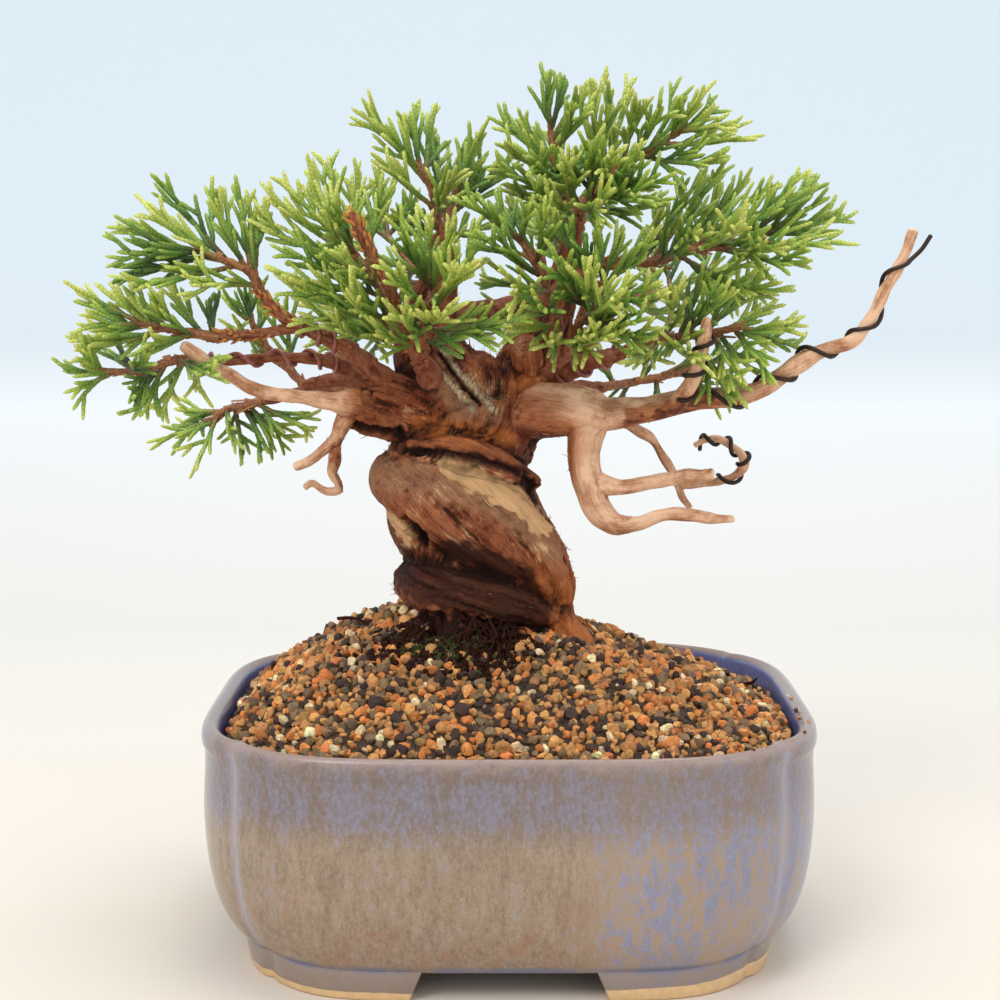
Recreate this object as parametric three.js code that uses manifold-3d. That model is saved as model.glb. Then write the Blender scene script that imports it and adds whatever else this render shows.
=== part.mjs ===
// A small trained juniper in a glazed stoneware pot, at real size in millimetres, +Z up.
// The tree is modelled about the origin and the pot about its own middle; the whole is then
// shifted so that the middle of its bounding box stands over the origin of the finished part.
//
// Wood, wire and foliage are all built from two forms: a limb (a cylinder bent along a
// route, with its own thickness at each point) and a cord (a blunt three-sided needle).
// Routes are short lists of points chosen by hand, as [x, y, z] or [x, y, z, radius].

import * as THREE from 'three';
import { mergeVertices } from 'three/addons/utils/BufferGeometryUtils.js';
import Module from 'manifold-3d';

const wasm = await Module();
wasm.setup();

// ---------------------------------------------------------------- driving dimensions

const CLEARANCE = 0.3;          // gap kept between pieces that touch on the real object

const POT_MIDDLE = [-1, -2];    // where the pot's middle lies from the tree's origin
const POT = {
  halfWidth: 57.5,              // middle of a side lobe
  halfDepth: 51,                // middle of the front lobe
  notchX: 49.5,                 // the four inward corners of the plan
  notchY: 38.5,
  lobePower: 5,                 // how flat the lobes are between the corners
  depthShare: 0.6,              // the front and back walls taper less than the sides
  longLobeSteps: 12,
  sideLobeSteps: 8,
  footHeight: 5.2,
  footGapTop: 15.7,             // half-width of the gap between two feet, at its top
  footGapBottom: 18,
  sideGapTop: 10.5,
  sideGapBottom: 12.5,
  wall: 3.6,
  rimHeight: 45,
  floorTop: 8.8,
  drainRadius: 6,
};

const SOIL = {
  edgeHeight: 41.8,             // where the grains meet the inside of the rim
  crown: [-9, 5, 62],           // the top of the mound, under the trunk
  moundPower: 1.55,             // how full the slope is,
  moundLean: 0.25,              // fuller on the left and hollower on the right
  dip: 4,                       // how much lower the edge lies at the back right corner
  dipAngle: 0.8,                // the direction of that corner, in radians from the right
  dipPower: 6,                  // how narrow the dip is
  grain: 1.8,                   // height of the relief of the coarse grains
  rings: 8,
};

const MESH_SIZE = 22;           // the square of plastic mesh over the drain hole
const MESH_THICK = 1.2;
const MESH_HOLE = 3.6;

const CORD = {
  radius: 0.85,                 // scale-leaved cords are round and about 1.5 mm thick
  length: 6.2,
  lean: 0.75,                   // angle from the shoot, in radians
  spacing: 8.6,                 // distance between side cords along a shoot
  most: 2,                      // side cords on one shoot
};
const SHOOT_RADIUS = 1;
const STEM_RADIUS = 1.15;
const WIRE_RADIUS = 0.45;

const ROOT_DEPTH = 0.2;         // how far a needle's root is sunk past the line that it starts from
const BEND = { tries: 12, step: 0.9 };   // how far a shoot is bent clear of its neighbours
const CORD_WAIST = 0.35;        // where along its length a needle is thickest
const SHOOT_WAIST = 0.3;
const GOLDEN_ANGLE = 2.39996;

// ------------------------------------------------------------------------- the routes

// Bark-covered wood: the column, its bulging muscles, two leaders and the live branches.
const COLUMN = [
  [-1.5, 2, 37, 14], [-1.5, 2, 47.5, 14.6], [-2, 2, 56.5, 13.8], [-5, 2, 65, 15.4], [-6, 2, 71, 15.6],
  [-8, 2, 76.5, 15], [-10.5, 2, 82.5, 15.6], [-11, 2, 87.5, 14.6], [-9, 3, 92.5, 12.4],
  [-8, 4, 96.5, 12.8], [-9, 4, 101, 13],
];
const MUSCLES = [
  [[7.5, 0, 62, 4], [5, -8, 70.5, 6.5], [-3.5, -11, 78, 8.3], [-14, -8, 83.5, 8.4],
    [-21, -2, 87, 6.6], [-20, 8, 88.5, 5.2]],
  [[-20, 1, 67.5, 4.6], [-14, -8, 66.5, 5.7], [-2.5, -10, 65.5, 6.4], [6.5, -5, 62.5, 4.4]],
  [[-19, -6, 94, 1.9], [-11, -10, 94, 2.6], [-2.5, -10, 91, 2.5], [5, -5, 86, 2.3]],
  [[4, 8, 58, 5], [2, 13, 68, 6], [-8, 15, 78, 6.5], [-18, 9, 87, 5.5]],
];
const ROOTS = [
  [[-7, -5, 61, 8], [-11, -11, 57, 6.5], [-15, -16, 52, 4.6], [-18, -21, 46, 3]],
  [[5, -2, 62, 5], [9, -5, 57, 4.6], [14, -9, 52, 3.4], [18, -12, 46, 2.4]],
  [[-1, 9, 62, 7], [2, 16, 57, 5], [5, 23, 51, 3.4], [7, 28, 46, 2.4]],
  [[-12, 4, 63, 5], [-18, 7, 58, 4.6], [-24, 10, 53, 3.2], [-28, 12, 47, 2.2]],
];
const LEADERS = [
  [[-10.5, 4, 98, 12], [-12, 4, 103, 10.8], [-15, 4, 108, 8.8], [-16.5, 4, 113.5, 6.8],
    [-16, 5, 119.5, 5],
    [-14, 6, 126.5, 3.3], [-14, 6, 134, 2]],
  [[-3, 4, 97, 9], [0, 4, 101, 8.6], [3, 5, 106.5, 7.4], [5, 6, 112, 5.7], [7.5, 6, 118, 4.1],
    [10, 8, 126.5, 2.9], [11.5, 8, 136.5, 1.8]],
  [[-13, 2, 99, 8.4], [-22, -1, 101, 6.6], [-28.5, -4, 102, 5.4], [-31, -5, 102.5, 4.6]],
];
const KNOB = [[3, -1, 110, 3.2], [2, -4, 113.5, 2.9]];
const BRANCHES = [
  [[-16, 6, 114.5, 3.5], [-10, 12, 118, 2.8], [-2.5, 18, 119.5, 2.2], [4.5, 22, 121.5, 1.5]],
  [[-24, -3, 105, 3], [-27, -5, 108.5, 2.4], [-32, -8, 113, 1.7], [-36, -9, 115, 1.4],
    [-40, -10, 117, 1.2],
    [-43, -10, 118.5, 1.1], [-45.5, -10, 121, 1], [-48, -10, 124, 1]],
  [[-39, -10, 117, 1], [-47, -12, 116, 1], [-51.5, -13, 115.5, 0.9], [-55, -14, 115.5, 0.9]],
  [[-23, 0, 103.5, 3], [-27, 0, 105.5, 2.4], [-33, -1, 109, 1.6], [-37.5, -3, 110.5, 1.2],
    [-46, -6, 111, 1],
    [-56.5, -9, 110.5, 0.9], [-59.5, -9, 111.5, 0.9]],
  [[-20, 8, 101, 3.4], [-27, 13, 102, 2.4], [-33, 17, 102.5, 1.8], [-41.5, 23, 102.5, 1.4],
    [-52, 28, 100, 1]],
  [[-24, 4, 104, 2.6], [-31, 8, 106, 1.9], [-37, 9, 105.5, 1.5], [-41.5, 10, 104.5, 1.2]],
  [[-16, -4, 107, 3], [-17.5, -8, 110.5, 1.9], [-19, -13, 114, 1.4], [-21, -17, 119, 1.2],
    [-23, -21, 125, 1.1],
    [-25.5, -22, 130, 1.1], [-28, -23, 135, 1.2], [-29.5, -23.5, 138, 0.8]],
  [[-16.5, 2, 109, 3.6], [-18, -2, 112, 2.2], [-19.5, -6, 113.5, 1.5]],
  [[3, 4, 106, 5], [6, 2, 108, 3.1], [10.5, 0, 108.5, 2.3], [14.5, -2, 110, 2], [20, -3, 111.5, 1.5],
    [26, -4, 114.5, 1.1]],
  [[9.5, 7, 124.5, 2.6], [15, 6, 128, 1.6], [20.5, 4, 129, 1.2]],
  [[5, 4, 107, 3.4], [11, 2, 111, 2.1], [16, 3, 116, 1.6], [20.5, 6, 121.5, 1.2]],
  [[-2, 8, 101, 5], [4, 13, 102, 3.4], [10, 18, 103, 2.2], [18, 24, 103, 1.4]],
  [[-16, 5, 112, 4], [-20.5, 13, 114, 2], [-23, 19, 115, 1.3]],
  [[4, 3, 107, 3.6], [7, -1, 109, 2.2], [9, -5, 111, 1.6], [10, -7, 112, 1.4]],
  [[11, 8, 131, 2], [12.4, 9, 136, 1.5], [13.4, 9.8, 139.8, 1.2]],
  [[11.2, 7.5, 131, 2], [11.8, 5, 134.5, 1.4], [12, 2.5, 136.2, 1.2]],
];

// Bare grey-tan deadwood to the right: a long whip, a short stub, and the drooping fork.
const JIN_RIGHT = [
  [[-4, 2, 97, 4], [6, -5, 100.5, 5.6], [12.5, -8, 101, 4.9], [18, -9, 100.5, 3.2],
    [25.5, -10, 101.5, 2.5],
    [33, -11, 103.5, 2.3], [41, -12, 104, 1.9], [46, -12, 105.5, 1.7], [50.5, -12, 108.5, 1.7],
    [54, -12, 111, 1.8], [58, -12, 113, 1.5], [63, -12, 114.5, 1.3], [66, -12, 118, 1.3],
    [69.5, -12, 125, 1.1], [72, -12, 129.5, 1.1], [74, -12, 135, 0.9]],
  [[29, -11.5, 102, 2], [31, -14, 104, 1.8], [32.5, -16, 107, 1.5], [34, -17.5, 111, 1.3],
    [35, -18, 115, 1.2],
    [35.5, -18, 119, 1]],
  [[14, -8, 100, 4], [13, -10, 93, 3.2], [14, -11, 88, 3.3], [15.5, -12, 83.5, 2.8],
    [18.5, -13, 80.3, 2.2],
    [23, -14, 80.3, 1.5], [27.5, -15, 82, 1.3], [33, -15, 82, 1.4], [37, -16, 81.5, 1],
    [41, -16, 81.5, 0.8]],
  [[14, -11, 88, 2.8], [20, -13, 87, 1.5], [25, -14, 88, 1.3], [29, -15, 89, 1.3], [32.5, -16, 89.5, 1.5],
    [37, -17, 90, 1.2]],
  [[18.5, -7, 100, 2.2], [20.5, -4, 99.5, 1.6], [23.5, 0, 97, 1.2], [27, 3, 94.5, 1.1], [29, 5, 91.5, 1],
    [31, 6, 88.5, 1], [32.5, 7, 85, 0.9], [33.5, 7, 82.5, 0.8], [35, 6, 80.5, 0.7]],
  [[31.5, 6.5, 87, 0.9], [34, 7, 85.2, 0.9], [37.5, 6, 85.5, 0.9], [40.5, 5, 86, 0.9],
    [43.5, 3, 87.5, 0.9],
    [45, 2, 89.7, 0.9], [44.5, 2, 91.7, 0.9], [42.5, 3, 93.2, 0.8], [40, 4, 94.5, 0.8],
    [37.5, 5, 94, 0.8],
    [35.5, 5, 93, 0.8]],
];

// Deadwood to the left: one long arm and two crooked low ones.
const JIN_LEFT = [
  [[-28, -5, 102.5, 3.4], [-32, -8, 102.5, 2.7], [-35, -9, 103, 1.8],
    [-40.5, -11, 104, 1.4],
    [-46.5, -13, 105, 1.4], [-49, -14, 106, 1.5], [-53, -15, 108.5, 1.2], [-56, -16, 110, 1.2],
    [-58.5, -17, 112, 1.3], [-61, -18, 114, 1]],
  [[-30, -6, 102, 2.6], [-33, -7, 98.5, 1.7], [-34, -8, 96, 1.3], [-36.5, -9, 93.5, 1.2],
    [-39, -10, 91.5, 1.1],
    [-41.5, -10, 90.5, 0.9]],
  [[-32.5, -6.5, 99, 1.7], [-34.5, -3, 94.5, 1.4], [-35, 0, 90.5, 1.4], [-35.5, 1, 88, 1.1],
    [-34.3, 2, 86, 0.9],
    [-34.3, 3, 84.5, 0.9], [-37, 3, 84.3, 0.9], [-39.5, 2, 86, 0.8], [-41, 2, 85, 0.7]],
];

// Training wire: where it winds round a limb, over which part of its route, how many
// turns, and the free points that it runs on to after its last turn.
const WIRES = {
  wire_right_whip: {
    finish: 'darkWire', around: JIN_RIGHT[0], from: 0.36, to: 0.96, turns: 4.5, startAngle: 0.6,
    tail: [[75.5, -12.5, 131.5], [77, -13, 134]],
  },
  wire_right_stub: {
    finish: 'darkWire', around: JIN_RIGHT[1], from: 0.24, to: 0.86, turns: 2.5, startAngle: 2,
  },
  wire_back_curl: {
    finish: 'darkWire', around: JIN_RIGHT[5], from: 0.3, to: 0.97, turns: 4, startAngle: 0,
  },
  wire_left_upper: {
    finish: 'copperWire', around: BRANCHES[1], from: 0.3, to: 0.62, turns: 3, startAngle: 1,
  },
  wire_left_middle: {
    finish: 'copperWire', around: BRANCHES[3], from: 0.35, to: 0.92, turns: 5, startAngle: 2.4,
  },
  wire_right_leader: {
    finish: 'copperWire', around: BRANCHES[8], from: 0.3, to: 0.8, turns: 3, startAngle: 0.4,
  },
};

// Foliage sprays: the route of each stem, and the tips of its shoots in turn from its foot to its end.
const SPRAYS = {
  left_upper: {
    stem: [[-48, -10, 124], [-49, -11, 127], [-53, -12, 129], [-58, -12, 131]],
    tips: [
      [-59, -20, 125], [-48, -8, 139], [-52, -6, 144], [-57, -14, 143], [-70, -20, 125],
      [-66, -6, 144], [-68, -16, 140], [-73, -14, 127], [-74, -8, 136], [-73, -16, 131],
    ],
  },
  left_middle: {
    stem: [[-55, -14, 115], [-59, -15, 116], [-65, -16, 117], [-69, -16, 118]],
    tips: [
      [-58, -8, 122], [-64, -12, 125], [-67, -26, 114], [-66, -20, 123], [-72, -10, 124],
      [-81, -18, 113], [-74, -18, 124], [-79, -10, 116], [-81, -14, 124], [-78, -20, 118],
    ],
  },
  left_lower: {
    stem: [[-59, -9, 111], [-63, -12, 111], [-70, -14, 109], [-76, -16, 109]],
    tips: [
      [-60, -4, 104], [-67, -8, 100], [-53, -27, 109], [-71, -16, 100], [-70, -24, 104],
      [-78, -4, 112], [-66, -24, 113], [-81, -18, 106], [-84, -14, 109], [-80, -22, 112],
    ],
  },
  left_back_low: {
    stem: [[-52, 28, 100], [-56, 29, 99], [-60, 30, 98], [-63, 30, 96]],
    tips: [
      [-41, 24, 94], [-46, 32, 91], [-51, 26, 90], [-57, 34, 88], [-58, 24, 92],
      [-71, 34, 98], [-66, 28, 87], [-73, 30, 92], [-70, 38, 93],
    ],
  },
  left_back: {
    stem: [[-41, 10, 104], [-46, 12, 109], [-50, 12, 113], [-52, 12, 117]],
    tips: [
      [-46, 18, 121], [-53, 18, 111], [-55, 8, 116], [-51, 22, 121], [-57, 12, 121],
      [-54, 16, 123],
    ],
  },
  centre_left: {
    stem: [[-19, -6, 113], [-22, -11, 117], [-24, -12, 122], [-27, -12, 127], [-30, -11, 131],
      [-33, -10, 134]],
    tips: [
      [-33, -18, 117], [-40, -16, 120], [-40, -22, 125], [-30, -34, 124], [-42, -24, 127],
      [-42, -20, 132], [-31, -32, 131], [-50, -10, 137], [-25, -6, 145], [-46, -14, 141],
      [-33, -24, 139], [-29, -4, 146], [-42, -10, 143], [-38, -10, 146], [-35, -4, 149],
    ],
  },
  centre_front: {
    stem: [[-18, -8, 112], [-17, -16, 116], [-16, -18, 120], [-15, -18, 124]],
    tips: [
      [-25, -26, 117], [-5, -22, 119], [-20, -36, 120], [3, -28, 120], [-12, -38, 121],
      [-6, -26, 134], [-21, -38, 128], [-9, -36, 129], [-11, -20, 137], [-20, -28, 136],
      [-16, -18, 138],
    ],
  },
  centre_top: {
    stem: [[-14, 6, 134], [-15, 5, 138], [-16, 4, 143], [-18, 3, 147]],
    tips: [
      [-23, -8, 138], [-12, -10, 146], [-26, -4, 149], [-15, 16, 154], [-27, 0, 156],
      [-17, 12, 158], [-28, 2, 159], [-20, 6, 158],
    ],
  },
  centre_top_back: {
    stem: [[-14, 10, 132], [-13, 14, 137], [-12, 17, 142]],
    tips: [
      [-2, 22, 137], [-15, 30, 144], [-1, 26, 148], [-5, 22, 151], [-6, 18, 156],
      [-10, 26, 153],
    ],
  },
  crown_left: {
    stem: [[11, 8, 136], [10, 6, 143], [8, 4, 148], [7, 4, 154]],
    tips: [
      [-1, -6, 143], [-4, 2, 148], [4, -24, 141], [-2, -10, 151], [4, -22, 147],
      [-3, 4, 158], [-1, 14, 155], [14, -8, 158], [12, 0, 161], [6, 4, 165],
      [9, 10, 164],
    ],
  },
  crown_right: {
    stem: [[13, 10, 140], [17, 10, 144], [22, 9, 148], [27, 8, 151], [32, 8, 154]],
    tips: [
      [16, 12, 164], [19, 4, 162], [22, 14, 163], [28, 26, 143], [23, -2, 160],
      [28, -4, 158], [40, -6, 148], [32, 10, 161], [44, 6, 153], [36, 2, 159],
      [40, 10, 159], [39, -2, 155],
    ],
  },
  crown_front: {
    stem: [[12, 2, 137], [14, -6, 140], [17, -11, 143]],
    tips: [
      [6, -24, 139], [8, -24, 147], [28, -16, 140], [15, -34, 140], [13, -22, 151],
      [22, -32, 140], [17, -28, 149], [23, -20, 149], [26, -24, 145],
    ],
  },
  right_upper: {
    stem: [[21, 4, 129], [27, 0, 129], [33, -3, 131], [39, -4, 132], [46, -5, 134]],
    tips: [
      [29, 6, 140], [36, 6, 145], [40, 0, 147], [33, -26, 136], [46, 8, 145],
      [49, -14, 123], [49, -2, 144], [41, -28, 136], [52, -12, 143], [54, -16, 129],
      [48, -28, 133], [58, 0, 144], [61, -12, 133], [58, -10, 141], [63, -2, 138],
    ],
  },
  front_left: {
    stem: [[8, -7, 112], [8, -14, 118], [6, -18, 124], [4, -20, 129], [1, -20, 133]],
    tips: [
      [6, -26, 115], [-2, -22, 117], [4, -38, 122], [-1, -34, 124], [-7, -30, 135],
      [5, -30, 139], [-3, -14, 140], [-9, -24, 141], [2, -26, 138],
    ],
  },
  front_right: {
    stem: [[10, -8, 112], [12, -16, 118], [15, -20, 122], [16, -22, 126]],
    tips: [
      [14, -26, 114], [17, -40, 117], [25, -34, 116], [23, -42, 120], [18, -48, 125],
      [6, -40, 132], [12, -46, 128], [26, -36, 124], [9, -28, 136], [25, -24, 134],
      [14, -26, 135], [19, -18, 135],
    ],
  },
  right_lower: {
    stem: [[26, -4, 114], [31, -8, 115], [37, -10, 116], [42, -12, 117]],
    tips: [
      [23, -20, 111], [29, -22, 125], [33, -30, 112], [35, -8, 125], [38, -24, 124],
      [41, -17, 103], [44, -10, 126], [42, -24, 107], [46, -10, 108], [50, -6, 122],
      [46, -20, 110], [52, -14, 117], [54, -8, 113],
    ],
  },
  right_back_low: {
    stem: [[18, 24, 103], [25, 28, 104], [32, 30, 105], [38, 31, 107]],
    tips: [
      [19, 32, 110], [21, 36, 97], [29, 36, 113], [29, 26, 97], [40, 38, 111],
      [43, 28, 99], [52, 36, 110], [47, 32, 103],
    ],
  },
  middle_back: {
    stem: [[4, 22, 121], [6, 27, 123], [7, 31, 126]],
    tips: [
      [-8, 28, 115], [-2, 36, 112], [-7, 36, 125], [10, 38, 113], [19, 44, 129],
      [19, 36, 120], [2, 38, 134],
    ],
  },
  back_crown: {
    stem: [[11, 9, 131], [12, 18, 134], [11, 26, 139], [10, 31, 143]],
    tips: [
      [-2, 34, 140], [7, 48, 132], [3, 38, 150], [16, 52, 139], [26, 30, 150],
      [25, 44, 144], [10, 34, 157], [18, 38, 154],
    ],
  },
  back_left: {
    stem: [[-15, 7, 123], [-19, 16, 127], [-23, 24, 131], [-26, 30, 134]],
    tips: [
      [-40, 28, 129], [-38, 34, 136], [-24, 48, 124], [-35, 46, 126], [-15, 46, 133],
      [-35, 32, 143], [-27, 38, 145], [-20, 42, 142],
    ],
  },
  back_right: {
    stem: [[21, 6, 122], [27, 16, 122], [34, 24, 124], [40, 30, 126]],
    tips: [
      [38, 38, 116], [54, 28, 126], [31, 50, 127], [31, 42, 137], [53, 36, 132],
      [49, 40, 120], [48, 36, 138], [40, 40, 140],
    ],
  },
  back_low: {
    stem: [[-23, 20, 115], [-27, 27, 115], [-32, 33, 115]],
    tips: [
      [-44, 34, 121], [-25, 44, 120], [-43, 38, 112], [-28, 46, 109], [-38, 42, 107],
      [-36, 46, 120],
    ],
  },
};

// ------------------------------------------------------------------------ small tools

// A seeded generator, so that the foliage comes out alike each time.
function randomFrom(seed) {
  let state = seed;
  return () => {
    state = (state + 0x6d2b79f5) | 0;
    let mixed = Math.imul(state ^ (state >>> 15), 1 | state);
    mixed = (mixed + Math.imul(mixed ^ (mixed >>> 7), 61 | mixed)) ^ mixed;
    return ((mixed ^ (mixed >>> 14)) >>> 0) / 4294967296;
  };
}

function toSolid(geometry) {
  const bare = geometry.clone();
  bare.deleteAttribute('normal');
  bare.deleteAttribute('uv');
  const merged = mergeVertices(bare, 1e-4);
  const index = merged.getIndex().array;
  const positions = merged.getAttribute('position').array;
  const corners = [];
  let volume = 0;
  const at = (i) => new THREE.Vector3().fromArray(positions, i * 3);
  for (let i = 0; i < index.length; i += 3) {
    const [a, b, c] = [index[i], index[i + 1], index[i + 2]];
    if (a !== b && b !== c && c !== a) {
      corners.push(a, b, c);
      volume += at(a).dot(at(b).cross(at(c)));
    }
  }
  if (volume < 0) {
    corners.reverse();
  }
  return new wasm.Manifold(new wasm.Mesh({
    numProp: 3,
    vertProperties: Float32Array.from(positions),
    triVerts: Uint32Array.from(corners),
  }));
}

function toGeometry(solid) {
  const mesh = solid.getMesh();
  const geometry = new THREE.BufferGeometry();
  geometry.setAttribute('position', new THREE.BufferAttribute(Float32Array.from(mesh.vertProperties), 3));
  geometry.setIndex(new THREE.BufferAttribute(Uint32Array.from(mesh.triVerts), 1));
  geometry.computeVertexNormals();
  return geometry;
}

// The largest shell of a solid, without loose scraps and with any sealed hollow filled.
function largestBody(solid) {
  return solid.decompose().reduce((largest, body) => (body.volume() > largest.volume() ? body : largest));
}

function join(solids) {
  return largestBody(solids.reduce((whole, next) => whole.add(next)));
}

function carve(solid, cutters) {
  return largestBody(cutters.reduce((left, cutter) => left.subtract(cutter), solid));
}

// ------------------------------------------------------------------- limbs and cords

const STEEP = 0.8;              // above this, a limb starts too upright for an upright frame

function smoothLine(route) {
  const points = route.map(([x, y, z]) => new THREE.Vector3(x, y, z));
  return new THREE.CatmullRomCurve3(points, false, 'centripetal');
}

// The points of a route as a smooth line, with a thickness and an upright frame at each step.
function followRoute(route, steps, grow = 0) {
  const curve = smoothLine(route);
  const last = route.length - 1;
  const rings = [];
  let side = null;
  for (let step = 0; step <= steps; step += 1) {
    const t = step / steps;
    const place = Math.min(Math.floor(t * last), last - 1);
    const radius = THREE.MathUtils.lerp(route[place][3], route[place + 1][3], t * last - place);
    const point = curve.getPoint(t);
    const along = curve.getTangent(t);
    const first = Math.abs(along.z) > STEEP ? new THREE.Vector3(1, 0, 0) : new THREE.Vector3(0, 0, 1);
    const reference = side ?? first;
    side = reference.clone().addScaledVector(along, -reference.dot(along)).normalize();
    const up = new THREE.Vector3().crossVectors(along, side);
    rings.push({ point, along, side, up, radius: radius + grow });
  }
  rings[0].point.addScaledVector(rings[0].along, -grow);
  rings[steps].point.addScaledVector(rings[steps].along, grow);
  return rings;
}

// A cylinder bent along a route. Flutes make its section uneven, as twisted wood is.
function limb(route, { sides = 6, stepsPerPoint = 1, grow = 0, flutes = 0, depth = 0, twist = 0 } = {}) {
  const steps = Math.max(1, Math.round((route.length - 1) * stepsPerPoint));
  const rings = followRoute(route, steps, grow);
  const geometry = new THREE.CylinderGeometry(1, 1, 1, sides, steps);
  const position = geometry.getAttribute('position');
  const point = new THREE.Vector3();
  for (let i = 0; i < position.count; i += 1) {
    const step = Math.round((position.getY(i) + 0.5) * steps);
    const ring = rings[step];
    const angle = Math.atan2(position.getZ(i), position.getX(i));
    const swell = 1 + depth * Math.cos(flutes * angle + (twist * step) / steps);
    point.copy(ring.point)
      .addScaledVector(ring.side, position.getX(i) * ring.radius * swell)
      .addScaledVector(ring.up, position.getZ(i) * ring.radius * swell);
    position.setXYZ(i, point.x, point.y, point.z);
  }
  return toSolid(geometry);
}

// A slim three-sided needle between two points, pointed at both ends so that its root
// sinks into what it grows from.
function needle(from, to, radius, waist) {
  const run = new THREE.Vector3().subVectors(to, from);
  const length = run.length() + ROOT_DEPTH;
  const profile = [[0, 0], [radius, waist * length], [0, length]];
  const geometry = new THREE.LatheGeometry(profile.map(([x, y]) => new THREE.Vector2(x, y)), 3);
  const turn = new THREE.Quaternion().setFromUnitVectors(new THREE.Vector3(0, 1, 0), run.normalize());
  geometry.applyQuaternion(turn);
  geometry.translate(...from.clone().addScaledVector(run, -ROOT_DEPTH).toArray());
  return toSolid(geometry);
}

// A thin wire wound round part of a limb, then run on through its free points.
function windWire({ around, from, to, turns, startAngle, tail = [] }) {
  const stepsPerTurn = 7;
  const steps = Math.round(turns * stepsPerTurn);
  const fine = 400;
  const rings = followRoute(around, fine);
  const route = [];
  for (let step = 0; step <= steps; step += 1) {
    const ring = rings[Math.round(THREE.MathUtils.lerp(from, to, step / steps) * fine)];
    const angle = startAngle + (step / stepsPerTurn) * 2 * Math.PI;
    const reach = (ring.radius + WIRE_RADIUS + CLEARANCE) / Math.cos(Math.PI / stepsPerTurn);
    const point = ring.point.clone()
      .addScaledVector(ring.side, Math.cos(angle) * reach)
      .addScaledVector(ring.up, Math.sin(angle) * reach);
    route.push([...point.toArray(), WIRE_RADIUS]);
  }
  tail.forEach((point) => route.push([...point, WIRE_RADIUS]));
  return route;
}

// -------------------------------------------------------------------- room for foliage

// Every limb, wire and cord that has its place, as short thick lines.
const placed = [];

function claim(node, route) {
  for (let i = 1; i < route.length; i += 1) {
    const [from, to] = [route[i - 1], route[i]];
    placed.push({
      node,
      line: new THREE.Line3(new THREE.Vector3(...from), new THREE.Vector3(...to)),
      radius: Math.max(from[3], to[3]),
    });
  }
}

function gapBetween(first, second) {
  const samples = 8;
  const point = new THREE.Vector3();
  const nearest = new THREE.Vector3();
  let gap = Infinity;
  for (let i = 0; i <= samples; i += 1) {
    first.at(i / samples, point);
    second.closestPointToPoint(point, true, nearest);
    gap = Math.min(gap, nearest.distanceTo(point));
  }
  return gap;
}

// Whether a thick line stays clear of everything that belongs to other nodes.
function isClear(node, line, radius, ignore = []) {
  return placed.every((other) => other.node === node || ignore.includes(other.node)
    || gapBetween(line, other.line) > radius + other.radius + CLEARANCE);
}

// ---------------------------------------------------------------------------- the pot

// The four-lobed plan, as points with their inward directions, anticlockwise from the front.
// The points crowd towards the ends of each lobe, where it turns.
function potOutline() {
  const points = [];
  const addLobe = (steps, place) => {
    for (let i = 0; i < steps; i += 1) {
      points.push(place(Math.sin((Math.PI / 2) * (-1 + (2 * i) / steps))));
    }
  };
  const bulge = (s) => 1 - Math.abs(s) ** POT.lobePower;
  const deep = POT.halfDepth - POT.notchY;
  const wide = POT.halfWidth - POT.notchX;
  addLobe(POT.longLobeSteps, (s) => [POT.notchX * s, -POT.notchY - deep * bulge(s)]);
  addLobe(POT.sideLobeSteps, (s) => [POT.notchX + wide * bulge(s), POT.notchY * s]);
  addLobe(POT.longLobeSteps, (s) => [-POT.notchX * s, POT.notchY + deep * bulge(s)]);
  addLobe(POT.sideLobeSteps, (s) => [-POT.notchX - wide * bulge(s), -POT.notchY * s]);
  return points.map(([x, y], i) => {
    const before = points[(i + points.length - 1) % points.length];
    const after = points[(i + 1) % points.length];
    const run = new THREE.Vector2(after[0] - before[0], after[1] - before[1]).normalize();
    return { x, y, inX: -run.y, inY: run.x };
  });
}

const OUTLINE = potOutline();

// A lathe form pressed into the pot's plan. The profile holds [inset, height, spread]:
// how far inside the outline a ring lies, and how far out it lies from the centre.
function pressIntoPlan(profile, relief = () => 0, centre = [0, 0]) {
  const rings = profile.length;
  const section = profile.map(([, z, spread]) => new THREE.Vector2(spread, z));
  const geometry = new THREE.LatheGeometry(section, OUTLINE.length);
  const position = geometry.getAttribute('position');
  for (let i = 0; i < position.count; i += 1) {
    const corner = OUTLINE[Math.floor(i / rings) % OUTLINE.length];
    const [inset, z, spread] = profile[i % rings];
    const x = THREE.MathUtils.lerp(centre[0], corner.x + corner.inX * inset, spread);
    const y = THREE.MathUtils.lerp(centre[1], corner.y + corner.inY * inset * POT.depthShare, spread);
    position.setXYZ(i, x, y, z + relief(x, y, i % rings));
  }
  return toSolid(geometry);
}

// A box that is wider at the bottom than at the top, for the gap between two feet.
function footGap(topHalf, bottomHalf, reach) {
  const shape = new THREE.Shape([
    new THREE.Vector2(-bottomHalf, -1),
    new THREE.Vector2(bottomHalf, -1),
    new THREE.Vector2(bottomHalf, 0),
    new THREE.Vector2(topHalf, POT.footHeight),
    new THREE.Vector2(-topHalf, POT.footHeight),
    new THREE.Vector2(-bottomHalf, 0),
  ]);
  const geometry = new THREE.ExtrudeGeometry(shape, { depth: 2 * reach, bevelEnabled: false });
  geometry.translate(0, 0, -reach);
  geometry.rotateX(Math.PI / 2);
  return geometry;
}

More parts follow.
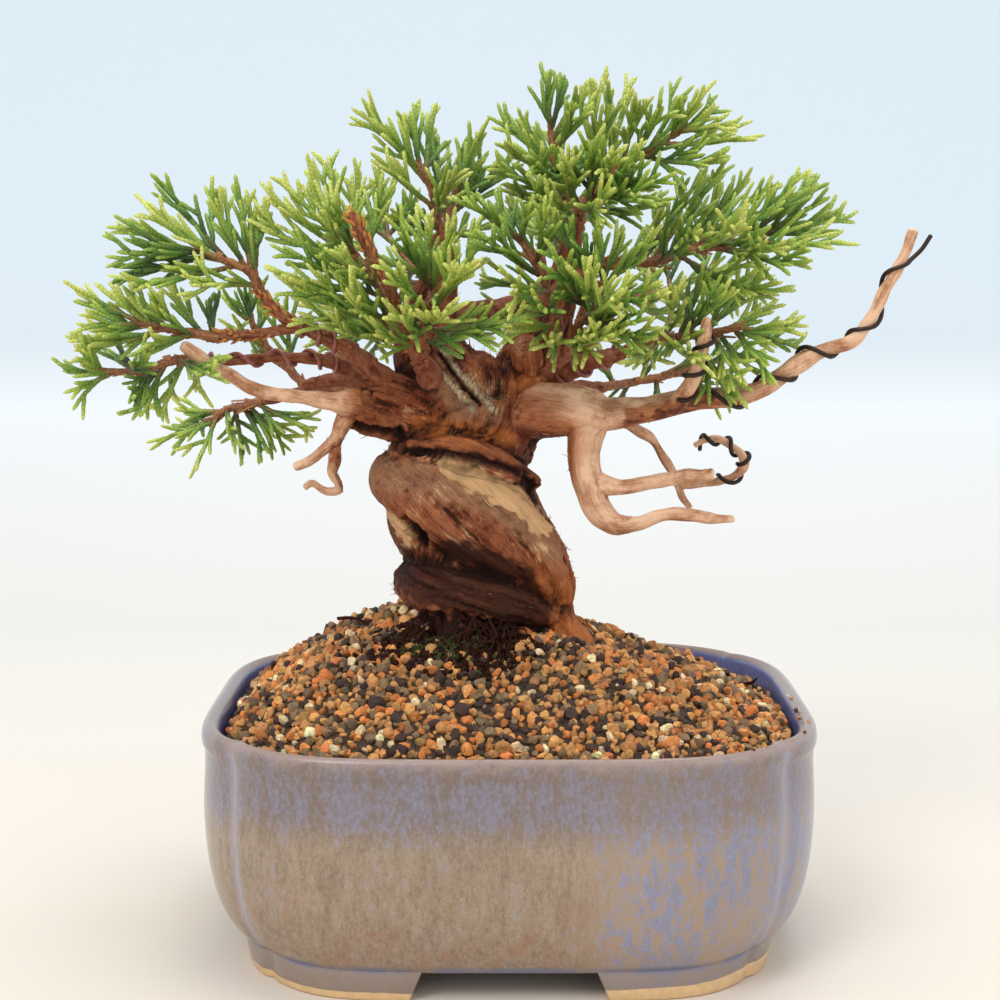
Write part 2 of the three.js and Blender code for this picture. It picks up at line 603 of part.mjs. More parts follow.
function makePot() {
  const inner = POT.wall;
  const body = pressIntoPlan([
    [16, POT.footHeight, 0], [16, POT.footHeight, 1], [15.4, 0, 1], [8.2, 0, 1], [7.6, 4.6, 1],
    [7.8, 5.6, 1], [5.6, 7.4, 1], [3, 11.4, 1], [1.1, 18, 1], [0.2, 28, 1], [0.5, 40.4, 1], [0, 42, 1],
    [0.3, 44.2, 1], [1.7, POT.rimHeight, 1], [3.2, 44.2, 1], [inner, 42, 1],
    [inner + 0.8, 26, 1], [inner + 6, POT.floorTop, 1],
    [inner + 6, POT.floorTop, 0],
  ]);
  const frontGap = toSolid(footGap(POT.footGapTop, POT.footGapBottom, POT.halfDepth * 2));
  const sideGap = footGap(POT.sideGapTop, POT.sideGapBottom, POT.halfWidth * 2).rotateZ(Math.PI / 2);
  const drain = new THREE.CylinderGeometry(POT.drainRadius, POT.drainRadius, POT.floorTop * 3, 16);
  return carve(body, [frontGap, toSolid(sideGap), toSolid(drain.rotateX(Math.PI / 2))]);
}

function makeDrainMesh() {
  const holes = [];
  const pitch = MESH_SIZE / 4;
  for (const x of [-1, 0, 1]) {
    for (const y of [-1, 0, 1]) {
      const hole = new THREE.BoxGeometry(MESH_HOLE, MESH_HOLE, MESH_THICK * 3);
      holes.push(toSolid(hole.translate(x * pitch, y * pitch, 0)));
    }
  }
  const sheet = toSolid(new THREE.BoxGeometry(MESH_SIZE, MESH_SIZE, MESH_THICK));
  return carve(sheet, holes).translate(0, 0, POT.floorTop + CLEARANCE + MESH_THICK / 2);
}

// --------------------------------------------------------------------------- the soil

// Grain tops stand up by an uneven amount that depends only on their place.
function grainRelief(x, y) {
  const mixed = Math.sin(x * 12.9898 + y * 78.233) * 43758.5453;
  return (mixed - Math.floor(mixed) - 0.5) * SOIL.grain;
}

function makeSoil() {
  const edge = POT.wall + CLEARANCE;
  const profile = [];
  for (let ring = 0; ring <= SOIL.rings; ring += 1) {
    profile.push([edge + 0.35, SOIL.edgeHeight, ring / SOIL.rings]);
  }
  profile.push([edge + 1, 26, 1]);
  profile.push([edge + 6.2, POT.floorTop + CLEARANCE, 1], [edge + 6.2, POT.floorTop + CLEARANCE, 0]);
  const [crownX, crownY, crownHeight] = SOIL.crown;
  const topRelief = (x, y, ring) => {
    if (ring > SOIL.rings) {
      return 0;
    }
    const out = ring / SOIL.rings;
    const angle = Math.atan2(y - crownY, x - crownX);
    const power = SOIL.moundPower - SOIL.moundLean * Math.cos(angle);
    const rise = (crownHeight - SOIL.edgeHeight) * (1 - out ** power);
    const dip = SOIL.dip * out ** 2 * Math.max(0, Math.cos(angle - SOIL.dipAngle)) ** SOIL.dipPower;
    const relief = ring > 0 && ring < SOIL.rings ? grainRelief(x, y) : 0;
    return rise - dip + relief;
  };
  const mound = pressIntoPlan(profile, topRelief, [crownX, crownY]);
  const meshRoom = MESH_SIZE + 2 * CLEARANCE;
  const recess = new THREE.BoxGeometry(meshRoom, meshRoom, 2 * (MESH_THICK + CLEARANCE));
  return carve(mound, [toSolid(recess.translate(0, 0, POT.floorTop + CLEARANCE))]);
}

// --------------------------------------------------------------------------- the wood

function makeTrunk(grow = 0) {
  const wood = [limb(COLUMN, { sides: 12, grow, flutes: 4, depth: 0.05, twist: 5 })];
  const muscle = { sides: 7, stepsPerPoint: 1.2, grow, flutes: 3, depth: 0.06, twist: 3 };
  MUSCLES.forEach((route) => wood.push(limb(route, muscle)));
  ROOTS.forEach((route) => wood.push(limb(route, { sides: 6, grow })));
  LEADERS.forEach((route) => wood.push(limb(route, { sides: 7, grow, flutes: 3, depth: 0.06, twist: 4 })));
  wood.push(limb(KNOB, { sides: 8, grow }));
  BRANCHES.forEach((route) => wood.push(limb(route, { sides: 5, grow })));
  return join(wood);
}

function makeDeadwood(routes, grow = 0) {
  return join(routes.map((route, i) => limb(route, { sides: i === 0 ? 6 : 5, grow })));
}

// ------------------------------------------------------------------------ the foliage

// Bends a shoot a little at a time until it passes clear of every other node.
function clearTip(node, start, tip, random) {
  for (let tries = 0; tries <= BEND.tries; tries += 1) {
    const bend = new THREE.Vector3(random() - 0.5, random() - 0.5, random() - 0.5);
    const end = tip.clone().addScaledVector(bend, BEND.step * tries);
    if (isClear(node, new THREE.Line3(start, end), SHOOT_RADIUS)) {
      return end;
    }
  }
  return null;
}

// One spray: a stem, its shoots to their tips in turn along the stem, and side cords on
// each shoot. Whatever would cross another node is left out.
function makeSpray(node, { stem, tips }, seed) {
  const random = randomFrom(seed);
  const last = stem.length - 1;
  const stemRoute = stem.map((point, i) => [...point, STEM_RADIUS - (0.35 * i) / last]);
  const curve = smoothLine(stem);
  const solids = [limb(stemRoute, { sides: 5 })];
  claim(node, stemRoute);
  tips.forEach((tip, i) => {
    const start = curve.getPoint(Math.min(1, (i + 1) / (tips.length - 1)));
    const end = clearTip(node, start, new THREE.Vector3(...tip), random);
    if (!end) {
      return;
    }
    const shoot = new THREE.Line3(start, end);
    const length = shoot.distance();
    claim(node, [start, end].map((point) => [...point.toArray(), SHOOT_RADIUS]));
    solids.push(needle(start, end, SHOOT_RADIUS, SHOOT_WAIST));
    const along = shoot.delta(new THREE.Vector3()).normalize();
    const across = new THREE.Vector3(0, 0, 1).cross(along).normalize();
    const count = Math.min(CORD.most, Math.floor(length / CORD.spacing));
    let angle = random() * 2 * Math.PI;
    for (let j = 0; j < count; j += 1) {
      angle += GOLDEN_ANGLE;
      const place = 0.28 + (0.4 * j) / count;
      const from = shoot.at(place, new THREE.Vector3());
      const outward = across.clone().applyAxisAngle(along, angle);
      const direction = along.clone().multiplyScalar(Math.cos(CORD.lean))
        .addScaledVector(outward, Math.sin(CORD.lean)).normalize();
      const reach = CORD.length * (1.1 - 0.35 * place + 0.2 * random());
      const to = from.clone().addScaledVector(direction, reach);
      if (isClear(node, new THREE.Line3(from, to), CORD.radius)) {
        claim(node, [[...from.toArray(), CORD.radius], [...to.toArray(), CORD.radius]]);
        solids.push(needle(from, to, CORD.radius, CORD_WAIST));
      }
    }
  });
  return join(solids);
}

// ----------------------------------------------------------------------- the materials

const MATERIALS = {
  glaze: new THREE.MeshStandardMaterial({ color: 0x8b8a9c, roughness: 0.42, metalness: 0 }),
  soil: new THREE.MeshStandardMaterial({ color: 0x9a6a3c, roughness: 0.95, metalness: 0 }),
  plastic: new THREE.MeshStandardMaterial({ color: 0x1f2321, roughness: 0.6, metalness: 0 }),
  bark: new THREE.MeshStandardMaterial({ color: 0x6f3f28, roughness: 0.8, metalness: 0 }),
  deadwood: new THREE.MeshStandardMaterial({ color: 0xc99a78, roughness: 0.75, metalness: 0 }),
  darkWire: new THREE.MeshStandardMaterial({ color: 0x2b2422, roughness: 0.45, metalness: 0.7 }),
  copperWire: new THREE.MeshStandardMaterial({ color: 0x7d4a3f, roughness: 0.4, metalness: 0.8 }),
  foliage: new THREE.MeshStandardMaterial({ color: 0x5f9a34, roughness: 0.6, metalness: 0 }),
};

// ------------------------------------------------------------------------ the assembly

const bonsai = new THREE.Group();

function addPiece(name, solid, material) {
  const mesh = new THREE.Mesh(toGeometry(solid), material);
  mesh.name = name;
  bonsai.add(mesh);
}

const trunk = makeTrunk();
const trunkRoom = makeTrunk(CLEARANCE);
const jinRight = carve(makeDeadwood(JIN_RIGHT), [trunkRoom]);
const jinRightRoom = makeDeadwood(JIN_RIGHT, CLEARANCE);
const jinLeft = carve(makeDeadwood(JIN_LEFT), [trunkRoom]);
const jinLeftRoom = makeDeadwood(JIN_LEFT, CLEARANCE);
const woodRoom = [trunkRoom, jinRightRoom, jinLeftRoom];

addPiece('pot', makePot().translate(...POT_MIDDLE, 0), MATERIALS.glaze);
addPiece('drain_mesh', makeDrainMesh().translate(...POT_MIDDLE, 0), MATERIALS.plastic);
addPiece('soil', carve(makeSoil().translate(...POT_MIDDLE, 0), [trunkRoom]), MATERIALS.soil);
addPiece('trunk', trunk, MATERIALS.bark);
addPiece('jin_right', jinRight, MATERIALS.deadwood);
addPiece('jin_left', jinLeft, MATERIALS.deadwood);

[COLUMN, ...MUSCLES, ...LEADERS, KNOB, ...BRANCHES].forEach((route) => claim('trunk', route));
JIN_RIGHT.forEach((route) => claim('jin_right', route));
JIN_LEFT.forEach((route) => claim('jin_left', route));

Object.entries(WIRES).forEach(([name, winding]) => {
  const route = windWire(winding);
  claim(name, route);
  const wire = limb(route, { sides: 4 });
  addPiece(name, carve(wire, woodRoom), MATERIALS[winding.finish]);
});

Object.entries(SPRAYS).forEach(([name, spray], i) => {
  const node = `foliage_${name}`;
  addPiece(node, carve(makeSpray(node, spray, i + 1), woodRoom), MATERIALS.foliage);
});

const middle = new THREE.Box3().setFromObject(bonsai).getCenter(new THREE.Vector3());
bonsai.position.set(-middle.x, -middle.y, 0);

export default bonsai;
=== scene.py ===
"""A small trained juniper in a glazed four-lobed pot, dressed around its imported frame.

Routes and tips are short lists of points in millimetres from the ground under the tree, and place()
turns them into metres of the shared frame. on_plan() does the same for the sections of the pot.
"""

import math

import bmesh
import bpy
import numpy as np
from bpy.props import FloatProperty, FloatVectorProperty, IntProperty, PointerProperty
from bpy.types import Operator, Panel, PropertyGroup
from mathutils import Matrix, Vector, noise
from mathutils.bvhtree import BVHTree


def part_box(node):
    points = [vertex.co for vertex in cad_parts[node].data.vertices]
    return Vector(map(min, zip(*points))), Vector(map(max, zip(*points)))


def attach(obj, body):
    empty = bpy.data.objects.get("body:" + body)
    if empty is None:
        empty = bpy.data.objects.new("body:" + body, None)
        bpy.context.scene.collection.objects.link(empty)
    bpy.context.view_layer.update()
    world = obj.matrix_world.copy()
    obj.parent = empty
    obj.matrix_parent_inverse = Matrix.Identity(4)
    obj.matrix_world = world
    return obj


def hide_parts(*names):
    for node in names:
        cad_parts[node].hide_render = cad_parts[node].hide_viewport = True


bl_info = {
    "name": "Potted Juniper",
    "version": (1, 0, 0),
    "blender": (4, 5, 0),
    "location": "View3D > Sidebar > Juniper",
    "description": "Dresses the frame of a small trained juniper in its glazed pot",
    "category": "Object",
}

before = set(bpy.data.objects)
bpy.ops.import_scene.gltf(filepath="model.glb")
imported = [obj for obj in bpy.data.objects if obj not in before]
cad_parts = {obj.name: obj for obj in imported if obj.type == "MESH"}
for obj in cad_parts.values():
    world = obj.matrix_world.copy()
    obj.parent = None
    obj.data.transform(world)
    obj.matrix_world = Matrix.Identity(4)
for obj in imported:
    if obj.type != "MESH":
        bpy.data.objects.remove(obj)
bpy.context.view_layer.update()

MM = 0.001
UPWARD = np.array([0.0, 0.0, 1.0])
SIDEWAYS = np.array([1.0, 0.0, 0.0])
POT_LOW, POT_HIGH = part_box("pot")
POT_CENTRE = np.array([(POT_LOW.x + POT_HIGH.x) / 2, (POT_LOW.y + POT_HIGH.y) / 2, 0.0])
POT_MIDDLE = np.array([-1.0, -2.0, 0.0]) * MM  # where the pot's middle lies from the tree's origin
TREE_ORIGIN = POT_CENTRE - POT_MIDDLE


def paint(code):
    """A colour written as six hexadecimal digits, as linear red, green and blue."""
    parts = [int(code[i:i + 2], 16) / 255 for i in (0, 2, 4)]
    return tuple(p / 12.92 if p <= 0.04045 else ((p + 0.055) / 1.055) ** 2.4 for p in parts)


def length_field(name, description, millimetres):
    """A settings field that holds a length."""
    return FloatProperty(
        name=name, description=description, default=millimetres * MM, min=0.0, unit="LENGTH", precision=5
    )


def share_field(name, description, default):
    """A settings field that holds a share from nothing to all."""
    return FloatProperty(
        name=name, description=description, default=default, min=0.0, max=1.0, subtype="FACTOR"
    )


def colour_field(name, description, code):
    """A settings field that holds a colour."""
    return FloatVectorProperty(
        name=name, description=description, default=paint(code), min=0.0, max=1.0, size=3, subtype="COLOR"
    )


# ---- routes of the tree

# Points are [x, y, z] or [x, y, z, radius].
COLUMN = [
    [-1.5, 2, 37, 14], [-1.5, 2, 47.5, 14.6], [-2, 2, 56.5, 13.8], [-5, 2, 65, 15.4], [-6, 2, 71, 15.6],
    [-8, 2, 76.5, 15], [-10.5, 2, 82.5, 15.6], [-11, 2, 87.5, 14.6], [-9, 3, 92.5, 12.4],
    [-8, 4, 96.5, 12.8], [-9, 4, 101, 13],
]
MUSCLES = [
    [[7.5, 0, 62, 4], [5, -8, 70.5, 6.5], [-3.5, -11, 78, 8.3], [-14, -8, 83.5, 8.4], [-21, -2, 87, 6.6],
     [-20, 8, 88.5, 5.2]],
    [[-20, 1, 67.5, 4.6], [-14, -8, 66.5, 5.7], [-2.5, -10, 65.5, 6.4], [6.5, -5, 62.5, 4.4]],
    [[-19, -6, 94, 1.9], [-11, -10, 94, 2.6], [-2.5, -10, 91, 2.5], [4, -3.5, 86.5, 1.8]],
    [[4, 8, 58, 5], [2, 13, 68, 6], [-8, 15, 78, 6.5], [-18, 9, 87, 5.5]],
]
ROOTS = [
    [[-7, -5, 61, 8], [-11, -11, 57, 6.5], [-15, -16, 52, 4.6], [-18, -21, 46, 3]],
    [[5, -2, 62, 5], [9, -5, 57, 4.6], [14, -9, 52, 3.4], [18, -12, 46, 2.4]],
    [[-1, 9, 62, 7], [2, 16, 57, 5], [5, 23, 51, 3.4], [7, 28, 46, 2.4]],
    [[-12, 4, 63, 5], [-18, 7, 58, 4.6], [-24, 10, 53, 3.2], [-28, 12, 47, 2.2]],
]
LEADERS = [
    [[-10.5, 4, 98, 12], [-12, 4, 103, 10.8], [-15, 4, 108, 8.8], [-16.5, 4, 113.5, 6.8],
     [-16, 5, 119.5, 5], [-14, 6, 126.5, 3.3], [-14, 6, 134, 2]],
    [[-3, 4, 97, 9], [0, 4, 101, 8.6], [3, 5, 106.5, 7.4], [5, 6, 112, 5.7], [7.5, 6, 118, 4.1],
     [10, 8, 126.5, 2.9], [11.5, 8, 136.5, 1.8]],
    [[-13, 2, 99, 8.4], [-22, -1, 101, 6.6], [-28.5, -4, 102, 5.4], [-31, -5, 102.5, 4.6]],
]
KNOB = [[3, -1, 110, 3.2], [2, -4, 113.5, 2.9]]
BRANCHES = [
    [[-16, 6, 114.5, 3.5], [-10, 12, 118, 2.8], [-2.5, 18, 119.5, 2.2], [4.5, 22, 121.5, 1.5]],
    [[-24, -3, 105, 3], [-27, -5, 108.5, 2.4], [-32, -8, 113, 1.7], [-36, -9, 115, 1.4],
     [-40, -10, 117, 1.2], [-43, -10, 118.5, 1.1], [-45.5, -10, 121, 1], [-48, -10, 124, 1]],
    [[-39, -10, 117, 1], [-47, -12, 116, 1], [-51.5, -13, 115.5, 0.9], [-55, -14, 115.5, 0.9]],
    [[-23, 0, 103.5, 3], [-27, 0, 105.5, 2.4], [-33, -1, 109, 1.6], [-37.5, -3, 110.5, 1.2],
     [-46, -6, 111, 1], [-56.5, -9, 110.5, 0.9], [-59.5, -9, 111.5, 0.9]],
    [[-20, 8, 101, 3.4], [-27, 13, 102, 2.4], [-33, 17, 102.5, 1.8], [-41.5, 23, 102.5, 1.4],
     [-52, 28, 100, 1]],
    [[-24, 4, 104, 2.6], [-31, 8, 106, 1.9], [-37, 9, 105.5, 1.5], [-41.5, 10, 104.5, 1.2]],
    [[-16, -4, 107, 3], [-17.5, -8, 110.5, 1.9], [-19, -13, 114, 1.4], [-21, -17, 119, 1.2],
     [-23, -21, 125, 1.1], [-25.5, -22, 130, 1.1], [-28, -23, 135, 1.2], [-29.5, -23.5, 138, 0.8]],
    [[-16.5, 2, 109, 3.6], [-18, -2, 112, 2.2], [-19.5, -6, 113.5, 1.5]],
    [[3, 4, 106, 5], [6, 2, 108, 3.1], [10.5, 0, 108.5, 2.3], [14.5, -2, 110, 2], [20, -3, 111.5, 1.5],
     [26, -4, 114.5, 1.1]],
    [[9.5, 7, 124.5, 2.6], [15, 6, 128, 1.6], [20.5, 4, 129, 1.2]],
    [[5, 4, 107, 3.4], [11, 2, 111, 2.1], [16, 3, 116, 1.6], [20.5, 6, 121.5, 1.2]],
    [[-2, 8, 101, 5], [4, 13, 102, 3.4], [10, 18, 103, 2.2], [18, 24, 103, 1.4]],
    [[-16, 5, 112, 4], [-20.5, 13, 114, 2], [-23, 19, 115, 1.3]],
    [[4, 3, 107, 3.6], [7, -1, 109, 2.2], [9, -5, 111, 1.6], [10, -7, 112, 1.4]],
    [[11, 8, 131, 2], [12.4, 9, 136, 1.5], [13.4, 9.8, 139.8, 1.2]],
    [[11.2, 7.5, 131, 2], [11.8, 5, 134.5, 1.4], [12, 2.5, 136.2, 1.2]],
]
SCALY_BRANCHES = (1, 2, 6, 7, 9, 14)

# Bare deadwood to the right: a long whip, a short stub and the drooping fork.
WHIP = [
    [-4, 2, 97, 4], [6, -5, 100.5, 5.6], [12.5, -8, 101, 4.9], [18, -9, 100.5, 3.2],
    [25.5, -10, 101.5, 2.5], [33, -11, 103.5, 2.3], [41, -12, 104, 1.9], [46, -12, 105.5, 1.7],
    [50.5, -12, 108.5, 1.7], [54, -12, 111, 1.8], [58, -12, 113, 1.5], [63, -12, 114.5, 1.3],
    [66, -12, 118, 1.3], [69.5, -12, 125, 1.1], [72, -12, 129.5, 1.1], [74, -12, 135, 0.9],
]
STUB = [
    [29, -11.5, 102, 2], [31, -14, 104, 1.8], [32.5, -16, 107, 1.5], [34, -17.5, 111, 1.3],
    [35, -18, 115, 1.2], [35.5, -18, 119, 1],
]
FORK = [
    [14, -8, 100, 4], [13, -10, 93, 3.2], [14, -11, 88, 3.3], [15.5, -12, 83.5, 2.8], [18.5, -13, 80.3, 2.2],
    [23, -14, 80.3, 1.5], [27.5, -15, 82, 1.3], [33, -15, 82, 1.4], [37, -16, 81.5, 1],
    [41, -16, 81.5, 0.8],
]
PRONG = [
    [14, -11, 88, 2.8], [20, -13, 87, 1.5], [25, -14, 88, 1.3], [29, -15, 89, 1.3], [32.5, -16, 89.5, 1.5],
    [37, -17, 90, 1.2],
]
BACK_ARM = [
    [18.5, -7, 100, 2.2], [20.5, -4, 99.5, 1.6], [23.5, 0, 97, 1.2], [27, 3, 94.5, 1.1], [29, 5, 91.5, 1],
    [31, 6, 88.5, 1], [32.5, 7, 85, 0.9], [33.5, 7, 82.5, 0.8], [35, 6, 80.5, 0.7],
]
CURL = [
    [31.5, 6.5, 87, 0.9], [34, 7, 85.2, 0.9], [37.5, 6, 85.5, 0.9], [40.5, 5, 86, 0.9], [43.5, 3, 87.5, 0.9],
    [45, 2, 89.7, 0.9], [44.5, 2, 91.7, 0.9], [42.5, 3, 93.2, 0.8], [40, 4, 94.5, 0.8], [37.5, 5, 94, 0.8],
    [35.5, 5, 93, 0.8],
]

# Deadwood to the left: one long arm and two crooked low ones.
LEFT_ARM = [
    [-28, -5, 102.5, 3.4], [-32, -8, 102.5, 2.7], [-35, -9, 103, 1.8],
    [-40.5, -11, 104, 1.4], [-46.5, -13, 105, 1.4], [-49, -14, 106, 1.5], [-53, -15, 108.5, 1.2],
    [-56, -16, 110, 1.2], [-58.5, -17, 112, 1.3], [-61, -18, 114, 1],
]
LOW_ARM = [
    [-30, -6, 102, 2.6], [-33, -7, 98.5, 1.7], [-34, -8, 96, 1.3], [-36.5, -9, 93.5, 1.2],
    [-39, -10, 91.5, 1.1], [-41.5, -10, 90.5, 0.9],
]
LOW_CROOK = [
    [-32.5, -6.5, 99, 1.7], [-34.5, -3, 94.5, 1.4], [-35, 0, 90.5, 1.4], [-35.5, 1, 88, 1.1],
    [-34.3, 2, 86, 0.9], [-34.3, 3, 84.5, 0.9], [-37, 3, 84.3, 0.9], [-39.5, 2, 86, 0.8],
    [-41, 2, 85, 0.7],
]

# Training wire: its finish, the route that it winds round, the shares of it where it starts and ends,
# its turns, the angle in radians where it starts, and its free points past the last turn.
WIRES = {
    "wire_right_whip": ("dark", WHIP, (0.36, 0.96), 4.5, 0.6, [[75.5, -12.5, 131.5], [77, -13, 134]]),
    "wire_right_stub": ("dark", STUB, (0.24, 0.86), 2.5, 2, []),
    "wire_back_curl": ("dark", CURL, (0.3, 0.97), 4, 0, []),
    "wire_left_upper": ("copper", BRANCHES[1], (0.3, 0.62), 3, 1, []),
    "wire_left_middle": ("copper", BRANCHES[3], (0.35, 0.92), 5, 2.4, []),
    "wire_right_leader": ("copper", BRANCHES[8], (0.3, 0.8), 3, 0.4, []),
}

# Foliage: the stem of each spray, and the tips of its shoots from the foot to the end.
SPRAYS = {
    "left_upper": (
        [[-48, -10, 124], [-49, -11, 127], [-53, -12, 129], [-58, -12, 131]],
        [[-59, -20, 125], [-48, -8, 139], [-52, -6, 144], [-57, -14, 143], [-70, -20, 125], [-66, -6, 144],
         [-68, -16, 140], [-73, -14, 127], [-74, -8, 136], [-73, -16, 131]],
    ),
    "left_middle": (
        [[-55, -14, 115], [-59, -15, 116], [-65, -16, 117], [-69, -16, 118]],
        [[-58, -8, 122], [-64, -12, 125], [-67, -26, 114], [-66, -20, 123], [-72, -10, 124],
         [-81, -18, 113], [-74, -18, 124], [-79, -10, 116], [-81, -14, 124], [-78, -20, 118]],
    ),
    "left_lower": (
        [[-59, -9, 111], [-63, -12, 111], [-70, -14, 109], [-76, -16, 109]],
        [[-60, -4, 104], [-67, -8, 100], [-53, -27, 109], [-71, -16, 100], [-70, -24, 104], [-78, -4, 112],
         [-66, -24, 113], [-81, -18, 106], [-84, -14, 109], [-80, -22, 112]],
    ),
    "left_back_low": (
        [[-52, 28, 100], [-56, 29, 99], [-60, 30, 98], [-63, 30, 96]],
        [[-41, 24, 94], [-46, 32, 91], [-51, 26, 90], [-57, 34, 88], [-58, 24, 92], [-71, 34, 98],
         [-66, 28, 87], [-73, 30, 92], [-70, 38, 93]],
    ),
    "left_back": (
        [[-41, 10, 104], [-46, 12, 109], [-50, 12, 113], [-52, 12, 117]],
        [[-46, 18, 121], [-53, 18, 111], [-55, 8, 116], [-51, 22, 121], [-57, 12, 121], [-54, 16, 123]],
    ),
    "centre_left": (
        [[-19, -6, 113], [-22, -11, 117], [-24, -12, 122], [-27, -12, 127], [-30, -11, 131],
         [-33, -10, 134]],
        [[-33, -18, 117], [-40, -16, 120], [-40, -22, 125], [-30, -34, 124], [-42, -24, 127],
         [-42, -20, 132], [-31, -32, 131], [-50, -10, 137], [-25, -6, 145], [-46, -14, 141],
         [-33, -24, 139], [-29, -4, 146], [-42, -10, 143], [-38, -10, 146], [-35, -4, 149]],
    ),
    "centre_front": (
        [[-18, -8, 112], [-17, -16, 116], [-16, -18, 120], [-15, -18, 124]],
        [[-25, -26, 117], [-5, -22, 119], [-20, -36, 120], [3, -28, 120], [-12, -38, 121], [-6, -26, 134],
         [-21, -38, 128], [-9, -36, 129], [-11, -20, 137], [-20, -28, 136], [-16, -18, 138]],
    ),
    "centre_top": (
        [[-14, 6, 134], [-15, 5, 138], [-16, 4, 143], [-18, 3, 147]],
        [[-23, -8, 138], [-12, -10, 146], [-26, -4, 149], [-15, 16, 154], [-27, 0, 156], [-17, 12, 158],
         [-28, 2, 159], [-20, 6, 158]],
    ),
    "centre_top_back": (
        [[-14, 10, 132], [-13, 14, 137], [-12, 17, 142]],
        [[-2, 22, 137], [-15, 30, 144], [-1, 26, 148], [-5, 22, 151], [-6, 18, 156], [-10, 26, 153]],
    ),
    "crown_left": (
        [[11, 8, 136], [10, 6, 143], [8, 4, 148], [7, 4, 154]],
        [[-1, -6, 143], [-4, 2, 148], [4, -24, 141], [-2, -10, 151], [4, -22, 147], [-3, 4, 158],
         [-1, 14, 155], [14, -8, 158], [12, 0, 161], [6, 4, 165], [9, 10, 164]],
    ),
    "crown_right": (
        [[13, 10, 140], [17, 10, 144], [22, 9, 148], [27, 8, 151], [32, 8, 154]],
        [[16, 12, 164], [19, 4, 162], [22, 14, 163], [28, 26, 143], [23, -2, 160], [28, -4, 158],
         [40, -6, 148], [32, 10, 161], [44, 6, 153], [36, 2, 159], [40, 10, 159], [39, -2, 155]],
    ),
    "crown_front": (
        [[12, 2, 137], [14, -6, 140], [17, -11, 143]],
        [[6, -24, 139], [8, -24, 147], [28, -16, 140], [15, -34, 140], [13, -22, 151], [22, -32, 140],
         [17, -28, 149], [23, -20, 149], [26, -24, 145]],
    ),
    "right_upper": (
        [[21, 4, 129], [27, 0, 129], [33, -3, 131], [39, -4, 132], [46, -5, 134]],
        [[29, 6, 140], [36, 6, 145], [40, 0, 147], [33, -26, 136], [46, 8, 145], [49, -14, 123],
         [49, -2, 144], [41, -28, 136], [52, -12, 143], [54, -16, 129], [48, -28, 133], [58, 0, 144],
         [61, -12, 133], [58, -10, 141], [63, -2, 138]],
    ),
    "front_left": (
        [[8, -7, 112], [8, -14, 118], [6, -18, 124], [4, -20, 129], [1, -20, 133]],
        [[6, -26, 115], [-2, -22, 117], [4, -38, 122], [-1, -34, 124], [-7, -30, 135], [5, -30, 139],
         [-3, -14, 140], [-9, -24, 141], [2, -26, 138]],
    ),
    "front_right": (
        [[10, -8, 112], [12, -16, 118], [15, -20, 122], [16, -22, 126]],
        [[14, -26, 114], [17, -40, 117], [25, -34, 116], [23, -42, 120], [18, -48, 125], [6, -40, 132],
         [12, -46, 128], [26, -36, 124], [9, -28, 136], [25, -24, 134], [14, -26, 135], [19, -18, 135]],
    ),
    "right_lower": (
        [[26, -4, 114], [31, -8, 115], [37, -10, 116], [42, -12, 117]],
        [[23, -20, 111], [29, -22, 125], [33, -30, 112], [35, -8, 125], [38, -24, 124], [41, -17, 103],
         [44, -10, 126], [42, -24, 107], [46, -10, 108], [50, -6, 122], [46, -20, 110], [52, -14, 117],
         [54, -8, 113]],
    ),
    "right_back_low": (
        [[18, 24, 103], [25, 28, 104], [32, 30, 105], [38, 31, 107]],
        [[19, 32, 110], [21, 36, 97], [29, 36, 113], [29, 26, 97], [40, 38, 111], [43, 28, 99],
         [52, 36, 110], [47, 32, 103]],
    ),
    "middle_back": (
        [[4, 22, 121], [6, 27, 123], [7, 31, 126]],
        [[-8, 28, 115], [-2, 36, 112], [-7, 36, 125], [10, 38, 113], [19, 44, 129], [19, 36, 120],
         [2, 38, 134]],
    ),
    "back_crown": (
        [[11, 9, 131], [12, 18, 134], [11, 26, 139], [10, 31, 143]],
        [[-2, 34, 140], [7, 48, 132], [3, 38, 150], [16, 52, 139], [26, 30, 150], [25, 44, 144],
         [10, 34, 157], [18, 38, 154]],
    ),
    "back_left": (
        [[-15, 7, 123], [-19, 16, 127], [-23, 24, 131], [-26, 30, 134]],
        [[-40, 28, 129], [-38, 34, 136], [-24, 48, 124], [-35, 46, 126], [-15, 46, 133], [-35, 32, 143],
         [-27, 38, 145], [-20, 42, 142]],
    ),
    "back_right": (
        [[21, 6, 122], [27, 16, 122], [34, 24, 124], [40, 30, 126]],
        [[38, 38, 116], [54, 28, 126], [31, 50, 127], [31, 42, 137], [53, 36, 132], [49, 40, 120],
         [48, 36, 138], [40, 40, 140]],
    ),
    "back_low": (
        [[-23, 20, 115], [-27, 27, 115], [-32, 33, 115]],
        [[-44, 34, 121], [-25, 44, 120], [-43, 38, 112], [-28, 46, 109], [-38, 42, 107], [-36, 46, 120]],
    ),
}

